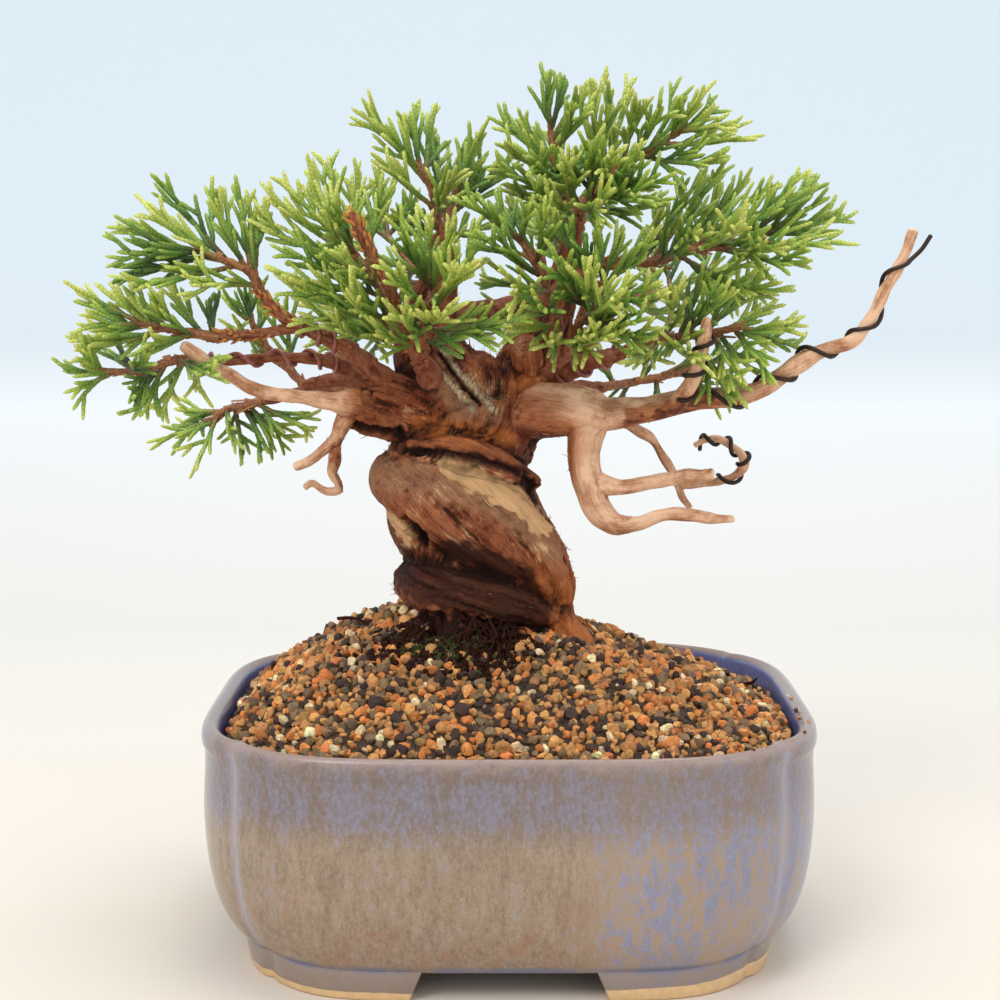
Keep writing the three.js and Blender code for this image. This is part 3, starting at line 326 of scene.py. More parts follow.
# Kinds of skin on the front of the trunk: routes through each, whose radius is its reach to the side. The
# dark routes and the routes under the rolls are painted shade, and the hollows are dents that are also
# painted dark as shade; the other kinds are the bark's own colours.
TRUNK_SKIN = {
    "bare": [
        [[-12.5, -13, 91, 2.2], [-8, -16, 89, 3], [-3.5, -17, 87, 3.6], [1, -15, 84, 3.2],
         [5.5, -12, 79, 2]],
        [[-24.5, -11, 80.5, 2], [-22.5, -13, 78.5, 2.6], [-20.5, -13, 75.5, 2]],
    ],
    "ash": [
        [[-14.5, -2, 114, 1], [-11.5, -5, 109.5, 1.2], [-7.5, -7, 105, 1.2], [-3.5, -9, 101, 1]],
        [[-15.5, -2, 110, 0.8], [-12.5, -4, 106.5, 0.9], [-9.5, -7, 103, 0.9], [-7, -8, 100.5, 0.7]],
    ],
    "dust": [
        [[-27, -4, 87.5, 6], [-21.5, -12, 89, 6], [-14, -16, 88, 5], [-6.5, -17, 85.5, 4.4],
         [1, -15, 81.5, 4], [7, -10, 75, 3.4], [8.5, -9, 71.5, 2.4]],
        [[-15, -6, 108, 5], [-10, -7, 103, 5.5], [-5, -8, 100, 4]],
    ],
    "ember": [
        [[6, -10, 74, 5], [10, -8, 66.5, 7], [11, -6, 58.5, 7]],
        [[2, -8, 106, 4], [6, -4, 103, 5]],
        [[-18, -9, 98, 2.6], [-9, -12, 97.5, 3], [-1, -11, 96, 2.6]],
    ],
    # Painted shade under the rolls of the trunk.
    "shade_under_rolls": [
        [[-21, -8, 70, 6], [-13, -13, 68, 7], [-4, -15, 66, 7.5], [3, -12, 63, 6]],
        [[-12, -15, 76, 3], [-4, -16, 73, 4], [2, -14, 71, 3]],
    ],
    # Painted shade: dark creases under the small roll and the limbs, a groove between the weathered strips,
    # and the foot of the trunk.
    "dark": [
        [[-21, -8, 93.5, 1.2], [-11.5, -13, 93, 1.8], [-4.5, -14, 91.5, 2], [1.5, -13, 89, 2.2],
         [5, -9, 84, 2]],
        [[5, -8, 95, 3.4], [6.5, -8, 91, 3.4], [6.5, -7, 87, 2.6]],
        [[-26, -14, 56, 8], [-17, -17, 58, 8], [-9, -15, 58, 7.5], [-2.5, -14, 56, 6.5]],
        [[-30, -7, 98, 1.6], [-22, -7, 96.5, 1.8]],
        [[-14, -3, 111.5, 0.7], [-10.5, -5, 106.5, 0.8], [-6.5, -8, 102, 0.7]],
    ],
    # Hollows: dents in the skin, painted dark inside as shade.
    "hollow": [
        [[-20.5, -14, 80.5, 1.6], [-18.5, -15, 78.5, 2.4], [-17.5, -14, 76, 1.6]],
        [[-28, -9, 104.5, 1.1], [-27.6, -9, 104.4, 1.1]],
    ],
}
# Patches of old bark on the bare limbs.
BARK_REMAINS = [
    [[22, -10, 99.5, 3.5], [30, -11, 101.5, 4.2], [37, -12, 103.5, 3.2]],
    [[2, -6, 94.5, 3.4], [9, -8, 95.5, 3]],
    [[1, -8, 104.5, 2], [0.5, -10, 100.5, 2.6], [1.5, -9, 96.5, 2.4]],
    [[-33, -7, 95, 1.6], [-36, -8, 91, 1.8], [-39, -9, 88.5, 1.2]],
    [[-34, -4, 92, 1.2], [-33.5, -1, 88, 1.5], [-33, 1, 84.5, 1.2]],
]
# A dead sprig that sticks out of the soil, and a twig that lies on it: x, y, height above the soil, radius.
SPRIG = [[-34.5, -2, 4.6, 0.28], [-31.5, -3, 3.8, 0.32], [-29, -4, 2, 0.32], [-27, -5, -0.6, 0.35]]
FALLEN_TWIG = [[43.5, 13, 1, 0.3], [45.5, 10.5, 0.6, 0.35], [48, 9.5, 1.6, 0.3], [49, 7.5, 3.4, 0.2]]


def place(points):
    """Millimetre points from the ground under the tree as metres in the shared frame."""
    return np.array([point[:3] for point in points], dtype=float) * MM + TREE_ORIGIN


def thickness(route):
    """The radius at each point of a route, in metres."""
    return np.array([point[3] for point in route], dtype=float) * MM


# ---- settings

class PotSettings(PropertyGroup):
    """Sizes and colours of the glazed pot."""

    half_width: length_field("Half width", "From the centre to the middle of a side lobe", 57.5)
    half_depth: length_field("Half depth", "From the centre to the middle of the front lobe", 51)
    corner_x: length_field("Corner across", "Where the four inward corners lie across the pot", 49.5)
    corner_y: length_field("Corner along", "Where the four inward corners lie from front to back", 38.5)
    crease_depth: length_field("Crease depth", "How deep the groove at each corner is", 0.5)
    rim_height: length_field("Rim height", "Height of the top of the rim", 45)
    foot_height: length_field("Foot height", "Height of the gaps between the feet", 5.2)
    floor_height: length_field("Floor height", "Height of the inside of the floor", 8.8)
    drain_radius: length_field("Drain radius", "Radius of the drain hole", 6)
    clay_edge: length_field("Bare edge", "Height of the unglazed band round the feet", 1.9)
    glaze_body: colour_field("Glaze body", "Grey-tan glaze over most of the wall", "917D69")
    glaze_deep: colour_field("Glaze run", "Darker brown flecks in the glaze", "796552")
    glaze_blue: colour_field("Glaze blue", "Lavender grey-blue where the glaze is thick", "737B9B")
    glaze_inside: colour_field("Glaze inside", "Clearer blue of the inner wall", "7E89C6")
    glaze_lip: colour_field("Glaze lip", "Brown-lavender where the glaze thins over the rim", "978279")
    clay: colour_field("Bare clay", "Unglazed clay under the feet", "E3BE8C")


class SoilSettings(PropertyGroup):
    """Sizes and colours of the mound of coarse grains."""

    grain_radius: length_field("Grain radius", "Middle size of a grain", 0.95)
    spacing: length_field("Spacing", "Distance between neighbouring grains", 1.6)
    seed: IntProperty(name="Seed", description="Picks one scatter of grains", default=7, min=0)
    tan: colour_field("Baked clay", "Tan grains", "CE9457")
    orange: colour_field("Orange clay", "Stronger orange grains", "D38242")
    olive: colour_field("Olive stone", "Grey-brown grains", "846A4C")
    dark: colour_field("Lava", "Dark brown grains", "46312A")
    pale: colour_field("Pumice", "Pale grains", "EFD3A6")
    crust: colour_field("Root crust", "Almost black rootlets at the foot of the trunk", "361A10")


class WoodSettings(PropertyGroup):
    """Fineness and colours of bark and deadwood."""

    bark_skin: length_field("Bark skin", "Spacing of the points that make the trunk's skin", 0.45)
    bare_skin: length_field("Deadwood skin", "Spacing of the points that make the deadwood's skin", 0.3)
    strand_depth: length_field("Strand depth", "Height of the twisted strands of bark", 0.6)
    fibres: IntProperty(name="Fibres", description="Loose fibres on the trunk", default=900, min=0)
    bark_dark: colour_field("Dark bark", "Bark in its furrows", "3E1A0D")
    bark_red: colour_field("Red bark", "Reddish brown bark", "844024")
    bark_light: colour_field("Worn bark", "Rubbed edges of the bark", "B0683C")
    bark_dust: colour_field("Dusty bark", "Pale tan film over the bulges", "AE7D5B")
    bark_ember: colour_field("Warm bark", "Orange-brown bark at the foot", "B5652F")
    bare_pale: colour_field("Old deadwood", "Tan strips without bark", "E6B581")
    bare_ash: colour_field("Weathered wood", "Whitish weathered strips", "E4CCA6")
    jin_light: colour_field("Bare wood", "Peach-tan deadwood", "E4B794")
    jin_dark: colour_field("Shaded wood", "Furrows of the deadwood", "A9714C")


class WireSettings(PropertyGroup):
    """Thickness and colours of the training wire."""

    radius: length_field("Radius", "Radius of the wire", 0.42)
    dark: colour_field("Dark wire", "Annealed dark wire", "40332E")
    copper: colour_field("Copper wire", "Dulled red-brown wire", "A3655B")


class FoliageSettings(PropertyGroup):
    """Sizes and colours of the scale-leaved cords."""

    cord_radius: length_field("Cord radius", "Radius of a scale-leaved cord", 0.45)
    scale_length: length_field("Scale length", "Length of one scale leaf", 0.9)
    spacing: length_field("Spacing", "Distance between side cords along a shoot", 1.8)
    flatness: share_field("Flatness", "How far a shoot's side cords keep to one plane", 0.3)
    old_green: colour_field("Old green", "Green of the inner cords", "3A5B26")
    leaf_green: colour_field("Leaf green", "Green of the middle of the cords", "769D3E")
    fresh_green: colour_field("Fresh green", "Green of the outer cords", "AABF50")
    tip_green: colour_field("Tip green", "Yellow-green of the growing tips", "D6DC74")
    twig: colour_field("Young twig", "Brown of the spray stems", "8A5636")
    stem_foot: length_field("Stem foot", "Radius of a spray's stem where it starts", 1.0)
    stem_end: length_field("Stem end", "Radius of a spray's stem where it ends", 0.6)


class StageSettings(PropertyGroup):
    """Camera, lights and the plain floor."""

    distance: length_field("Distance", "From the middle of the pot to the camera", 380)
    height: length_field("Height", "Height of the camera", 133)
    aside: FloatProperty(
        name="Aside", description="How far the camera stands to the side", default=-2.7 * MM, unit="LENGTH"
    )
    pitch: FloatProperty(
        name="Pitch", description="How far the camera looks down", default=0.131, subtype="ANGLE"
    )
    lens: FloatProperty(name="Lens", description="Focal length in millimetres", default=70.8, min=1.0)
    near: colour_field("Near floor", "The plain pale floor round the pot", "DCD2C6")
    floor: colour_field("Floor", "The plain pale floor behind", "D2CFC9")
    # Painted light: lighter than the floor, where the lamps light the floor less.
    haze: colour_field("Haze", "Where the floor turns into the backdrop", "F8F9F9")
    sky: colour_field("Backdrop", "The pale backdrop above the floor", "EDF6FB")


# ---- putting forms together

SHORTEST = 1e-12  # a vector no longer than this has no direction
CLOSEST = 1e-9  # points of a route no further apart than this count as this far apart


class Shape:
    """The corners, faces and per-corner values of one piece while it is put together."""

    def __init__(self):
        self.corners = []
        self.faces = []
        self.values = {}
        self.count = 0

    def add(self, corners, faces, **values):
        """Adds a form. Each value is one number or vector for all of it, or one per corner."""
        self.corners.append(corners)
        self.faces.extend(face + self.count for face in faces)
        for key, value in values.items():
            value = np.asarray(value, dtype=float)
            if value.shape[:1] != (len(corners),):
                value = np.broadcast_to(value, (len(corners), *value.shape))
            self.values.setdefault(key, []).append(value)
        self.count += len(corners)

    def piece(self, name, material=None):
        """The finished Blender object."""
        corners = np.vstack(self.corners)
        mesh = bpy.data.meshes.new(name)
        mesh.vertices.add(len(corners))
        mesh.vertices.foreach_set("co", corners.ravel())
        loops = np.concatenate([face.ravel() for face in self.faces])
        sizes = np.concatenate([np.full(len(face), face.shape[1]) for face in self.faces])
        mesh.loops.add(len(loops))
        mesh.loops.foreach_set("vertex_index", loops.astype(np.int32))
        mesh.polygons.add(len(sizes))
        starts = np.concatenate([[0], np.cumsum(sizes)[:-1]])
        mesh.polygons.foreach_set("loop_start", starts.astype(np.int32))
        mesh.update(calc_edges=True)
        mesh.shade_smooth()
        for key, parts in self.values.items():
            write_values(mesh, key, np.concatenate(parts))
        obj = bpy.data.objects.new(name, mesh)
        bpy.context.scene.collection.objects.link(obj)
        if material:
            mesh.materials.append(material)
        return obj


def write_values(mesh, key, values):
    """Keeps a number or vector for each corner of a mesh."""
    flat = values.ndim == 1
    attribute = mesh.attributes.new(key, "FLOAT" if flat else "FLOAT_VECTOR", "POINT")
    attribute.data.foreach_set("value" if flat else "vector", values.ravel().astype(np.float32))


def rows_of(values, key):
    """What Blender keeps for each corner of a mesh, as rows of x, y and z."""
    flat = np.empty(len(values) * 3, dtype=np.float32)
    values.foreach_get(key, flat)
    return flat.reshape(-1, 3).astype(float)


def corners_of(obj):
    """The corners of an object's mesh."""
    return rows_of(obj.data.vertices, "co")


def normals_of(obj):
    """The outward direction at each corner of an object's mesh."""
    return rows_of(obj.data.vertex_normals, "vector")


def move_corners(obj, corners):
    """Puts the corners of an object's mesh in new places."""
    obj.data.vertices.foreach_set("co", corners.astype(np.float32).ravel())
    obj.data.update()


def unit(vectors):
    """Vectors brought to length one."""
    lengths = np.linalg.norm(vectors, axis=-1, keepdims=True)
    return vectors / np.maximum(lengths, SHORTEST)


def smoothstep(low, high, value):
    """A soft step from nothing at low to one at high."""
    t = np.clip((value - low) / (high - low), 0.0, 1.0)
    return t * t * (3 - 2 * t)


def smooth_line(points, per_span):
    """A centripetal Catmull-Rom line, with per_span samples from each point to the next."""
    padded = np.vstack([2 * points[0] - points[1], points, 2 * points[-1] - points[-2]])
    t = np.arange(per_span)[:, None] / per_span
    samples = []
    for before, start, end, after in zip(padded, padded[1:], padded[2:], padded[3:]):
        pairs = ((before, start), (start, end), (end, after))
        gaps = [math.sqrt(max(np.linalg.norm(b - a), CLOSEST)) for a, b in pairs]
        first = (start - before) / gaps[0] - (end - before) / (gaps[0] + gaps[1]) + (end - start) / gaps[1]
        second = (end - start) / gaps[1] - (after - start) / (gaps[1] + gaps[2]) + (after - end) / gaps[2]
        first = first * gaps[1]
        second = second * gaps[1]
        square = 3 * (end - start) - 2 * first - second
        cube = 2 * (start - end) + first + second
        samples.append(start + first * t + square * t ** 2 + cube * t ** 3)
    return np.vstack([*samples, points[-1:]])


class Limb:
    """A route as a smooth line with a radius and a steady cross frame at each sample."""

    STEEP = 0.8  # a limb that starts steeper than this has its first side across the pot

    def __init__(self, points, radii, per_span):
        self.points = smooth_line(points, per_span)
        place_along = np.arange(len(self.points)) / per_span
        self.radii = np.interp(place_along, np.arange(len(points)), radii)
        self.along = unit(np.gradient(self.points, axis=0))
        side = SIDEWAYS if abs(self.along[0][2]) > self.STEEP else UPWARD
        sides = []
        for along in self.along:
            side = unit(side - along * side.dot(along))
            sides.append(side)
        self.sides = np.array(sides)
        self.ups = np.cross(self.along, self.sides)
        steps = np.linalg.norm(np.diff(self.points, axis=0), axis=1)
        self.run = np.concatenate([[0], np.cumsum(steps)])

    @classmethod
    def follow(cls, route, per_span):
        """The limb of a given route."""
        return cls(place(route), thickness(route), per_span)

    def at(self, share):
        """The nearest sample to a share of the way along."""
        return int(round(np.clip(share, 0, 1) * (len(self.points) - 1)))

    def around(self, index, angle, reach):
        """A point beside one sample, at an angle round the limb."""
        across = self.sides[index] * math.cos(angle) + self.ups[index] * math.sin(angle)
        return self.points[index] + across * reach


def side_faces(rings, count):
    """The faces between each ring of corners and the next, and one ring's corners beside those after them."""
    ring = np.arange(count)
    after = (ring + 1) % count
    starts = np.arange(rings - 1)[:, None] * count
    walls = np.stack([starts + ring, starts + after, starts + count + after, starts + count + ring], axis=-1)
    return walls.reshape(-1, 4), ring, after


def tube(limb, count, reach=None, blunt=0.3):
    """Corners and faces of a closed tube: reach holds one radius per sample or per corner."""
    rings = len(limb.points)
    angles = np.arange(count) * 2 * math.pi / count
    reach = limb.radii[:, None] if reach is None else reach
    reach = np.broadcast_to(reach, (rings, count))[..., None]
    across = limb.sides[:, None] * np.cos(angles)[:, None] + limb.ups[:, None] * np.sin(angles)[:, None]
    corners = (limb.points[:, None] + across * reach).reshape(-1, 3)
    tips = np.array([
        limb.points[0] - limb.along[0] * limb.radii[0] * blunt,
        limb.points[-1] + limb.along[-1] * limb.radii[-1] * blunt,
    ])
    walls, ring, after = side_faces(rings, count)
    last = (rings - 1) * count
    first_tip = np.full(count, rings * count)
    caps = [
        np.stack([first_tip, after, ring], axis=-1),
        np.stack([first_tip + 1, last + ring, last + after], axis=-1),
    ]
    return np.vstack([corners, tips]), [walls, *caps]


def swell(limb, count, flutes, depth, twist):
    """Radii of an uneven section whose flutes wind round the limb, as twisted wood has."""
    angles = np.arange(count) * 2 * math.pi / count
    turn = np.linspace(0, twist, len(limb.points))[:, None]
    return limb.radii[:, None] * (1 + depth * np.cos(flutes * angles + turn))


def fuse(shape, name, spacing, rounds):
    """Joins overlapping closed forms into one skin of even squares, and softens their joints."""
    obj = shape.piece(name)
    skin = obj.modifiers.new("skin", "REMESH")
    skin.mode = "VOXEL"
    skin.voxel_size = spacing
    soften = obj.modifiers.new("soften", "SMOOTH")
    soften.factor = 0.5
    soften.iterations = rounds
    graph = bpy.context.evaluated_depsgraph_get()
    mesh = bpy.data.meshes.new_from_object(obj.evaluated_get(graph))
    rough = obj.data
    obj.modifiers.clear()
    obj.data = mesh
    bpy.data.meshes.remove(rough)
    mesh.shade_smooth()
    return obj


LIMB_SHIFT = 0.06  # how far the grain of each limb starts along the noise from the one before
BLOCK = 4000  # how many corners are compared with the limbs at once


def grain_coordinates(corners, limbs, twist):
    """Where each corner lies in the grain of its nearest limb, and the way that the limb runs there.

    The place is in millimetres: two numbers across the limb and one along it. The twist is in radians
    a millimetre.
    """
    keys = ("points", "sides", "ups", "along")
    points, sides, ups, alongs = (np.vstack([getattr(limb, key) for limb in limbs]) for key in keys)
    radii = np.concatenate([limb.radii for limb in limbs])
    runs = np.concatenate([limb.run + LIMB_SHIFT * i for i, limb in enumerate(limbs)])
    grain = np.empty_like(corners)
    way = np.empty_like(corners)
    for start in range(0, len(corners), BLOCK):
        chunk = corners[start:start + BLOCK]
        away = np.linalg.norm(chunk[:, None] - points[None], axis=-1) - radii
        nearest = away.argmin(axis=1)
        offset = chunk - points[nearest]
        across = (offset * sides[nearest]).sum(axis=1)
        beside = (offset * ups[nearest]).sum(axis=1)
        run = runs[nearest] + (offset * alongs[nearest]).sum(axis=1)
        turn = run / MM * twist
        grain[start:start + BLOCK, 0] = across * np.cos(turn) + beside * np.sin(turn)
        grain[start:start + BLOCK, 1] = beside * np.cos(turn) - across * np.sin(turn)
        grain[start:start + BLOCK, 2] = run
        way[start:start + BLOCK] = alongs[nearest]
    return grain / MM, way


def valley_depth(obj, corners, normals, rounds):
    """How deep each corner lies below its softened surroundings, in millimetres. Ridges come out negative."""
    count = len(corners)
    ends = np.empty(len(obj.data.edges) * 2, dtype=np.int32)
    obj.data.edges.foreach_get("vertices", ends)
    first, second = ends.reshape(-1, 2).T
    neighbours = np.bincount(first, minlength=count) + np.bincount(second, minlength=count)
    soft = corners
    for _ in range(rounds):
        soft = np.stack([
            (np.bincount(first, soft[second, axis], count) + np.bincount(second, soft[first, axis], count))
            / np.maximum(neighbours, 1) for axis in range(3)
        ], axis=-1)
    return ((soft - corners) * normals).sum(axis=1) / MM


SEEN_FROM_FRONT = np.array([1.0, 0.15, 1.0])  # depth counts little in where a place on the skin lies
RAGGED = 0.45  # how far the edge of a kind of skin wanders, as a share of its reach


def nearness(corners, normals, routes):
    """How near each corner of the front is to any of some routes: one on it, nothing past its reach."""
    result = np.zeros(len(corners))
    ragged = lumps(corners, 1.6 * MM) * RAGGED
    for route in routes:
        line = Limb.follow(route, 8)
        gap = np.linalg.norm((corners[:, None] - line.points[None]) * SEEN_FROM_FRONT, axis=-1) / line.radii
        result = np.maximum(result, 1 - gap.min(axis=1) + ragged)
    return np.clip(result, 0, 1) * smoothstep(0.35, -0.1, normals[:, 1])


def fray(shape, corners, normals, way, weights, count, colours, chance):
    """Adds fine loose fibres that follow the grain and stand a little off the surface."""
    for pick in chance.choice(len(corners), count, p=weights / weights.sum()):
        length = chance.uniform(0.5, 1.9) * MM
        run = way[pick] * chance.choice((-1, 1)) + normals[pick] * chance.uniform(0, 0.35)
        run = unit(run + chance.normal(size=3) * 0.2)
        start = corners[pick] - normals[pick] * 0.08 * MM
        middle = start + run * length * 0.55
        end = middle + unit(run + chance.normal(size=3) * 0.45) * length * 0.45
        radii = np.array([1, 0.75, 0.3]) * chance.uniform(0.05, 0.1) * MM
        fibre = Limb(np.array([start, middle, end]), radii, 2)
        tint = np.array(colours[chance.integers(len(colours))]) * chance.uniform(0.7, 1.25)
        shape.add(*tube(fibre, 3), tint=tint)


def strands(grain, across, along, octaves):
    """Long ridges that run with the grain, from nothing in a furrow to one on a crest."""
    scale = np.array([across, across, along])
    values = np.empty(len(grain))
    for i, row in enumerate(grain * scale):
        spot = Vector(row)
        height = 0.0
        weight = 0.5
        for _ in range(octaves):
            height += weight * (1 - abs(noise.noise(spot)) * 2)
            spot = spot * 2.03
            weight *= 0.5
        values[i] = height
    return np.clip(values, 0, 1)


def lumps(corners, size):
    """Soft unevenness between minus one and one, with features of about one size."""
    return np.array([noise.noise(Vector(row)) for row in corners / size])


# ---- finishes

class Finish:
    """A node material while it is made, with its principled shader."""

    def __init__(self, name, roughness, **constants):
        self.material = bpy.data.materials.new(name)
        self.material.use_nodes = True
        self.nodes = self.material.node_tree.nodes
        self.links = self.material.node_tree.links
        self.shader = self.nodes["Principled BSDF"]
        self.fill(self.shader, Roughness=roughness, **constants)

    def fill(self, node, **inputs):
        """Sets or joins sockets of a node. They are named as in Blender, with _ for a blank."""
        for key, value in inputs.items():
            self.feed(node.inputs[key.replace("_", " ")], value)
        return node

    def node(self, kind, **inputs):
        """A new node, with some of its sockets set or joined."""
        return self.fill(self.nodes.new(f"ShaderNode{kind}"), **inputs)

    def feed(self, socket, value):
        """Sets a socket, or joins it to another one."""
        if isinstance(value, bpy.types.NodeSocket):
            self.links.new(value, socket)
        elif socket.type == "RGBA":
            socket.default_value = (*value[:3], 1.0)
        else:
            socket.default_value = value

    def attribute(self, key, output="Vector"):
        """A vector that the mesh carries."""
        node = self.node("Attribute")
        node.attribute_name = key
        return node.outputs[output]

    def number(self, key):
        """A number that the mesh carries."""
        return self.attribute(key, "Fac")

    def spot(self):
        """The place on the piece, in metres."""
        return self.node("TexCoord").outputs["Object"]

    def part(self, vector, axis):
        """One number of a vector."""
        return self.node("SeparateXYZ", Vector=vector).outputs[axis]

    def stretch(self, vector, scale):
        """A vector scaled along each axis."""
        return self.node("Mapping", Vector=vector, Scale=scale).outputs["Vector"]

    def cloud(self, vector, scale, detail=5.0, roughness=0.55, distortion=0.0):
        """Uneven noise between nothing and one."""
        node = self.node(
            "TexNoise", Vector=vector, Scale=scale, Detail=detail, Roughness=roughness, Distortion=distortion
        )
        return node.outputs["Fac"]

    def math(self, operation, first, second=0.0):
        """One operation on two numbers."""
        node = self.node("Math")
        node.operation = operation
        self.feed(node.inputs[0], first)
        self.feed(node.inputs[1], second)
        return node.outputs[0]

    def times(self, first, second):
        """Two numbers multiplied."""
        return self.math("MULTIPLY", first, second)

    def add(self, first, second, share=None):
        """Two numbers added, or the first one and a share of the second one."""
        if share is not None:
            second = self.times(second, share)
        return self.math("ADD", first, second)

    def minus(self, first, second):
        """The first number less the second one."""
        return self.math("SUBTRACT", first, second)

    def step(self, value, low, high):
        """A soft step between two levels."""
        node = self.node("MapRange", Value=value, From_Min=low, From_Max=high)
        node.interpolation_type = "SMOOTHSTEP"
        return node.outputs["Result"]

    def ramp(self, value, stops):
        """A colour that changes with a number: stops are (place, colour)."""
        node = self.node("ValToRGB", Fac=value)
        band = node.color_ramp
        while len(band.elements) < len(stops):
            band.elements.new(0.5)
        for element, (at, colour) in zip(band.elements, stops):
            element.position = at
            element.color = (*colour[:3], 1.0)
        return node.outputs["Color"]

    def mix(self, share, first, second, blend="MIX"):
        """Two colours blended: nothing of the second one at a share of nothing."""
        node = self.node("Mix")
        node.data_type = "RGBA"
        node.blend_type = blend
        self.feed(node.inputs["Factor"], share)
        first_colour, second_colour = (socket for socket in node.inputs if socket.type == "RGBA")
        self.feed(first_colour, first)
        self.feed(second_colour, second)
        return next(socket for socket in node.outputs if socket.type == "RGBA")

    def colour(self, value):
        """Gives the piece its colour."""
        self.fill(self.shader, Base_Color=value)

    def rough(self, value):
        """Gives the piece its roughness."""
        self.fill(self.shader, Roughness=value)

    def relief(self, height, distance, strength=1.0):
        """Raises the surface by a height."""
        node = self.node("Bump", Height=height, Distance=distance, Strength=strength)
        self.fill(self.shader, Normal=node.outputs["Normal"])


def darker(colour, share):
    """A colour with its light multiplied by a share, above one for a lighter colour."""
    return tuple(part * share for part in colour[:3])


def glaze_finish(pot):
    """Satin glaze: grey-tan with runs, blue where it pools, brown where it thins, bare clay at the feet."""
    finish = Finish("glazed_stoneware", 0.4, Coat_Weight=0.25, Coat_Roughness=0.22)
    spot = finish.spot()
    across, height = finish.part(spot, 0), finish.part(spot, 2)
    lining, crease = finish.number("lining"), finish.number("crease")
    runs = finish.cloud(finish.stretch(spot, (1.0, 1.0, 0.3)), 420, 8, 0.68)
    patches = finish.cloud(finish.stretch(spot, (1.0, 1.0, 0.6)), 85, 4, 0.55)
    mottle = finish.cloud(finish.stretch(spot, (1.0, 1.0, 0.55)), 1300, 7, 0.75)
    fleck = finish.add(finish.times(runs, 0.45), mottle, 0.55)
    body = finish.ramp(fleck, [
        (0.38, pot.glaze_deep), (0.5, pot.glaze_body), (0.6, darker(pot.glaze_body, 1.26)),
    ])
    low = finish.times(finish.step(height, 30 * MM, 8 * MM), 0.1)
    rust_level = finish.add(finish.cloud(finish.stretch(spot, (1.0, 1.0, 0.75)), 300, 8, 0.78), low)
    rust = finish.step(rust_level, 0.55, 0.72)
    body = finish.mix(finish.times(rust, 0.6), body, paint("936A4C"))
    top_band = finish.times(finish.step(height, 27 * MM, 36 * MM), 0.125)
    rim_zone = finish.times(finish.step(height, 40 * MM, 43 * MM), -0.03)
    right_zone = finish.times(finish.step(across, 8 * MM, 24 * MM), 0.115)
    end_zone = finish.times(finish.step(finish.math("ABSOLUTE", across), 46 * MM, 56 * MM), 0.03)
    score = finish.add(finish.times(runs, 0.47), mottle, 0.53)
    score = finish.add(score, patches, 0.25)
    for zone in (finish.math("MAXIMUM", top_band, right_zone), rim_zone, end_zone):
        score = finish.add(score, zone)
    # Painted highlight: the body is lighter towards the right side.
    body = finish.mix(finish.times(right_zone, 5), body, darker(pot.glaze_body, 1.4))
    body = finish.mix(finish.times(top_band, 5), body, paint("685A5B"))
    blue = finish.times(finish.step(score, 0.685, 0.8), 0.85)
    blue = finish.times(blue, finish.minus(1.0, finish.times(top_band, 4)))
    pooled = finish.ramp(mottle, [(0.38, darker(pot.glaze_blue, 0.8)), (0.62, darker(pot.glaze_blue, 1.25))])
    wall = finish.mix(blue, body, pooled)
    speckle = finish.step(finish.cloud(spot, 2600, 3, 0.6), 0.58, 0.72)
    wall = finish.mix(finish.times(speckle, 0.22), wall, paint("C9C2C0"))
    wall = finish.mix(finish.times(crease, 0.6), wall, paint("A9A6B4"))
    lip_noise = finish.times(finish.cloud(spot, 330, 7, 0.7), 7 * MM)
    lip = finish.step(finish.add(height, lip_noise), 46 * MM, 48.4 * MM)
    wall = finish.mix(finish.times(lip, 0.9), wall, pot.glaze_lip)
    inside = finish.step(finish.add(lining, patches, 0.5), 0.6, 0.9)
    lining_colour = finish.ramp(mottle, [(0.35, darker(pot.glaze_inside, 0.72)), (0.6, pot.glaze_inside)])
    wall = finish.mix(inside, wall, lining_colour)
    worn = finish.step(finish.add(height, mottle, 1.4 * MM), 45.3 * MM, 45.7 * MM)
    wall = finish.mix(finish.times(worn, 0.4), wall, paint("8B6A55"))
    foot = finish.step(height, 6.4 * MM, 5.2 * MM)
    wall = finish.mix(finish.times(foot, 0.75), wall, paint("8A7A72"))
    seam = finish.times(finish.step(height, 4.9 * MM, 5.6 * MM), finish.step(height, 7 * MM, 6.2 * MM))
    wall = finish.mix(finish.times(seam, finish.step(patches, 0.35, 0.6)), wall, paint("6F7088"))
    slant = finish.times(finish.math("MAXIMUM", across, 0.0), 0.03)
    edge_noise = finish.times(finish.cloud(spot, 180, 4), 0.7 * MM)
    edge = finish.add(finish.add(slant, pot.clay_edge - 0.7 * MM), edge_noise)
    bare = finish.step(finish.minus(height, edge), 0.12 * MM, -0.12 * MM)
    clay = finish.ramp(finish.cloud(spot, 700, 6), [(0.3, darker(pot.clay, 0.82)), (0.65, pot.clay)])
    finish.colour(finish.mix(bare, wall, clay))
    finish.rough(finish.add(finish.times(bare, 0.42), mottle, 0.3))
    finish.relief(finish.add(mottle, runs, 0.8), 0.12 * MM, 0.7)
    return finish.material


def speckled_finish(name, roughness, noise, stops, rise, **constants):
    """A finish that one noise both colours and raises: noise holds its scale, detail and roughness."""
    finish = Finish(name, roughness, **constants)
    speckle = finish.cloud(finish.spot(), *noise)
    finish.colour(finish.ramp(speckle, stops))
    finish.relief(speckle, rise)
    return finish.material


def soil_bed_finish(soil):
    """Painted shade: a dark bed that shows in the gaps between the grains."""
    stops = [(0.3, darker(soil.dark, 0.25)), (0.7, darker(soil.olive, 0.5))]
    return speckled_finish("soil_bed", 0.95, (900, 8, 0.7), stops, 0.8 * MM)


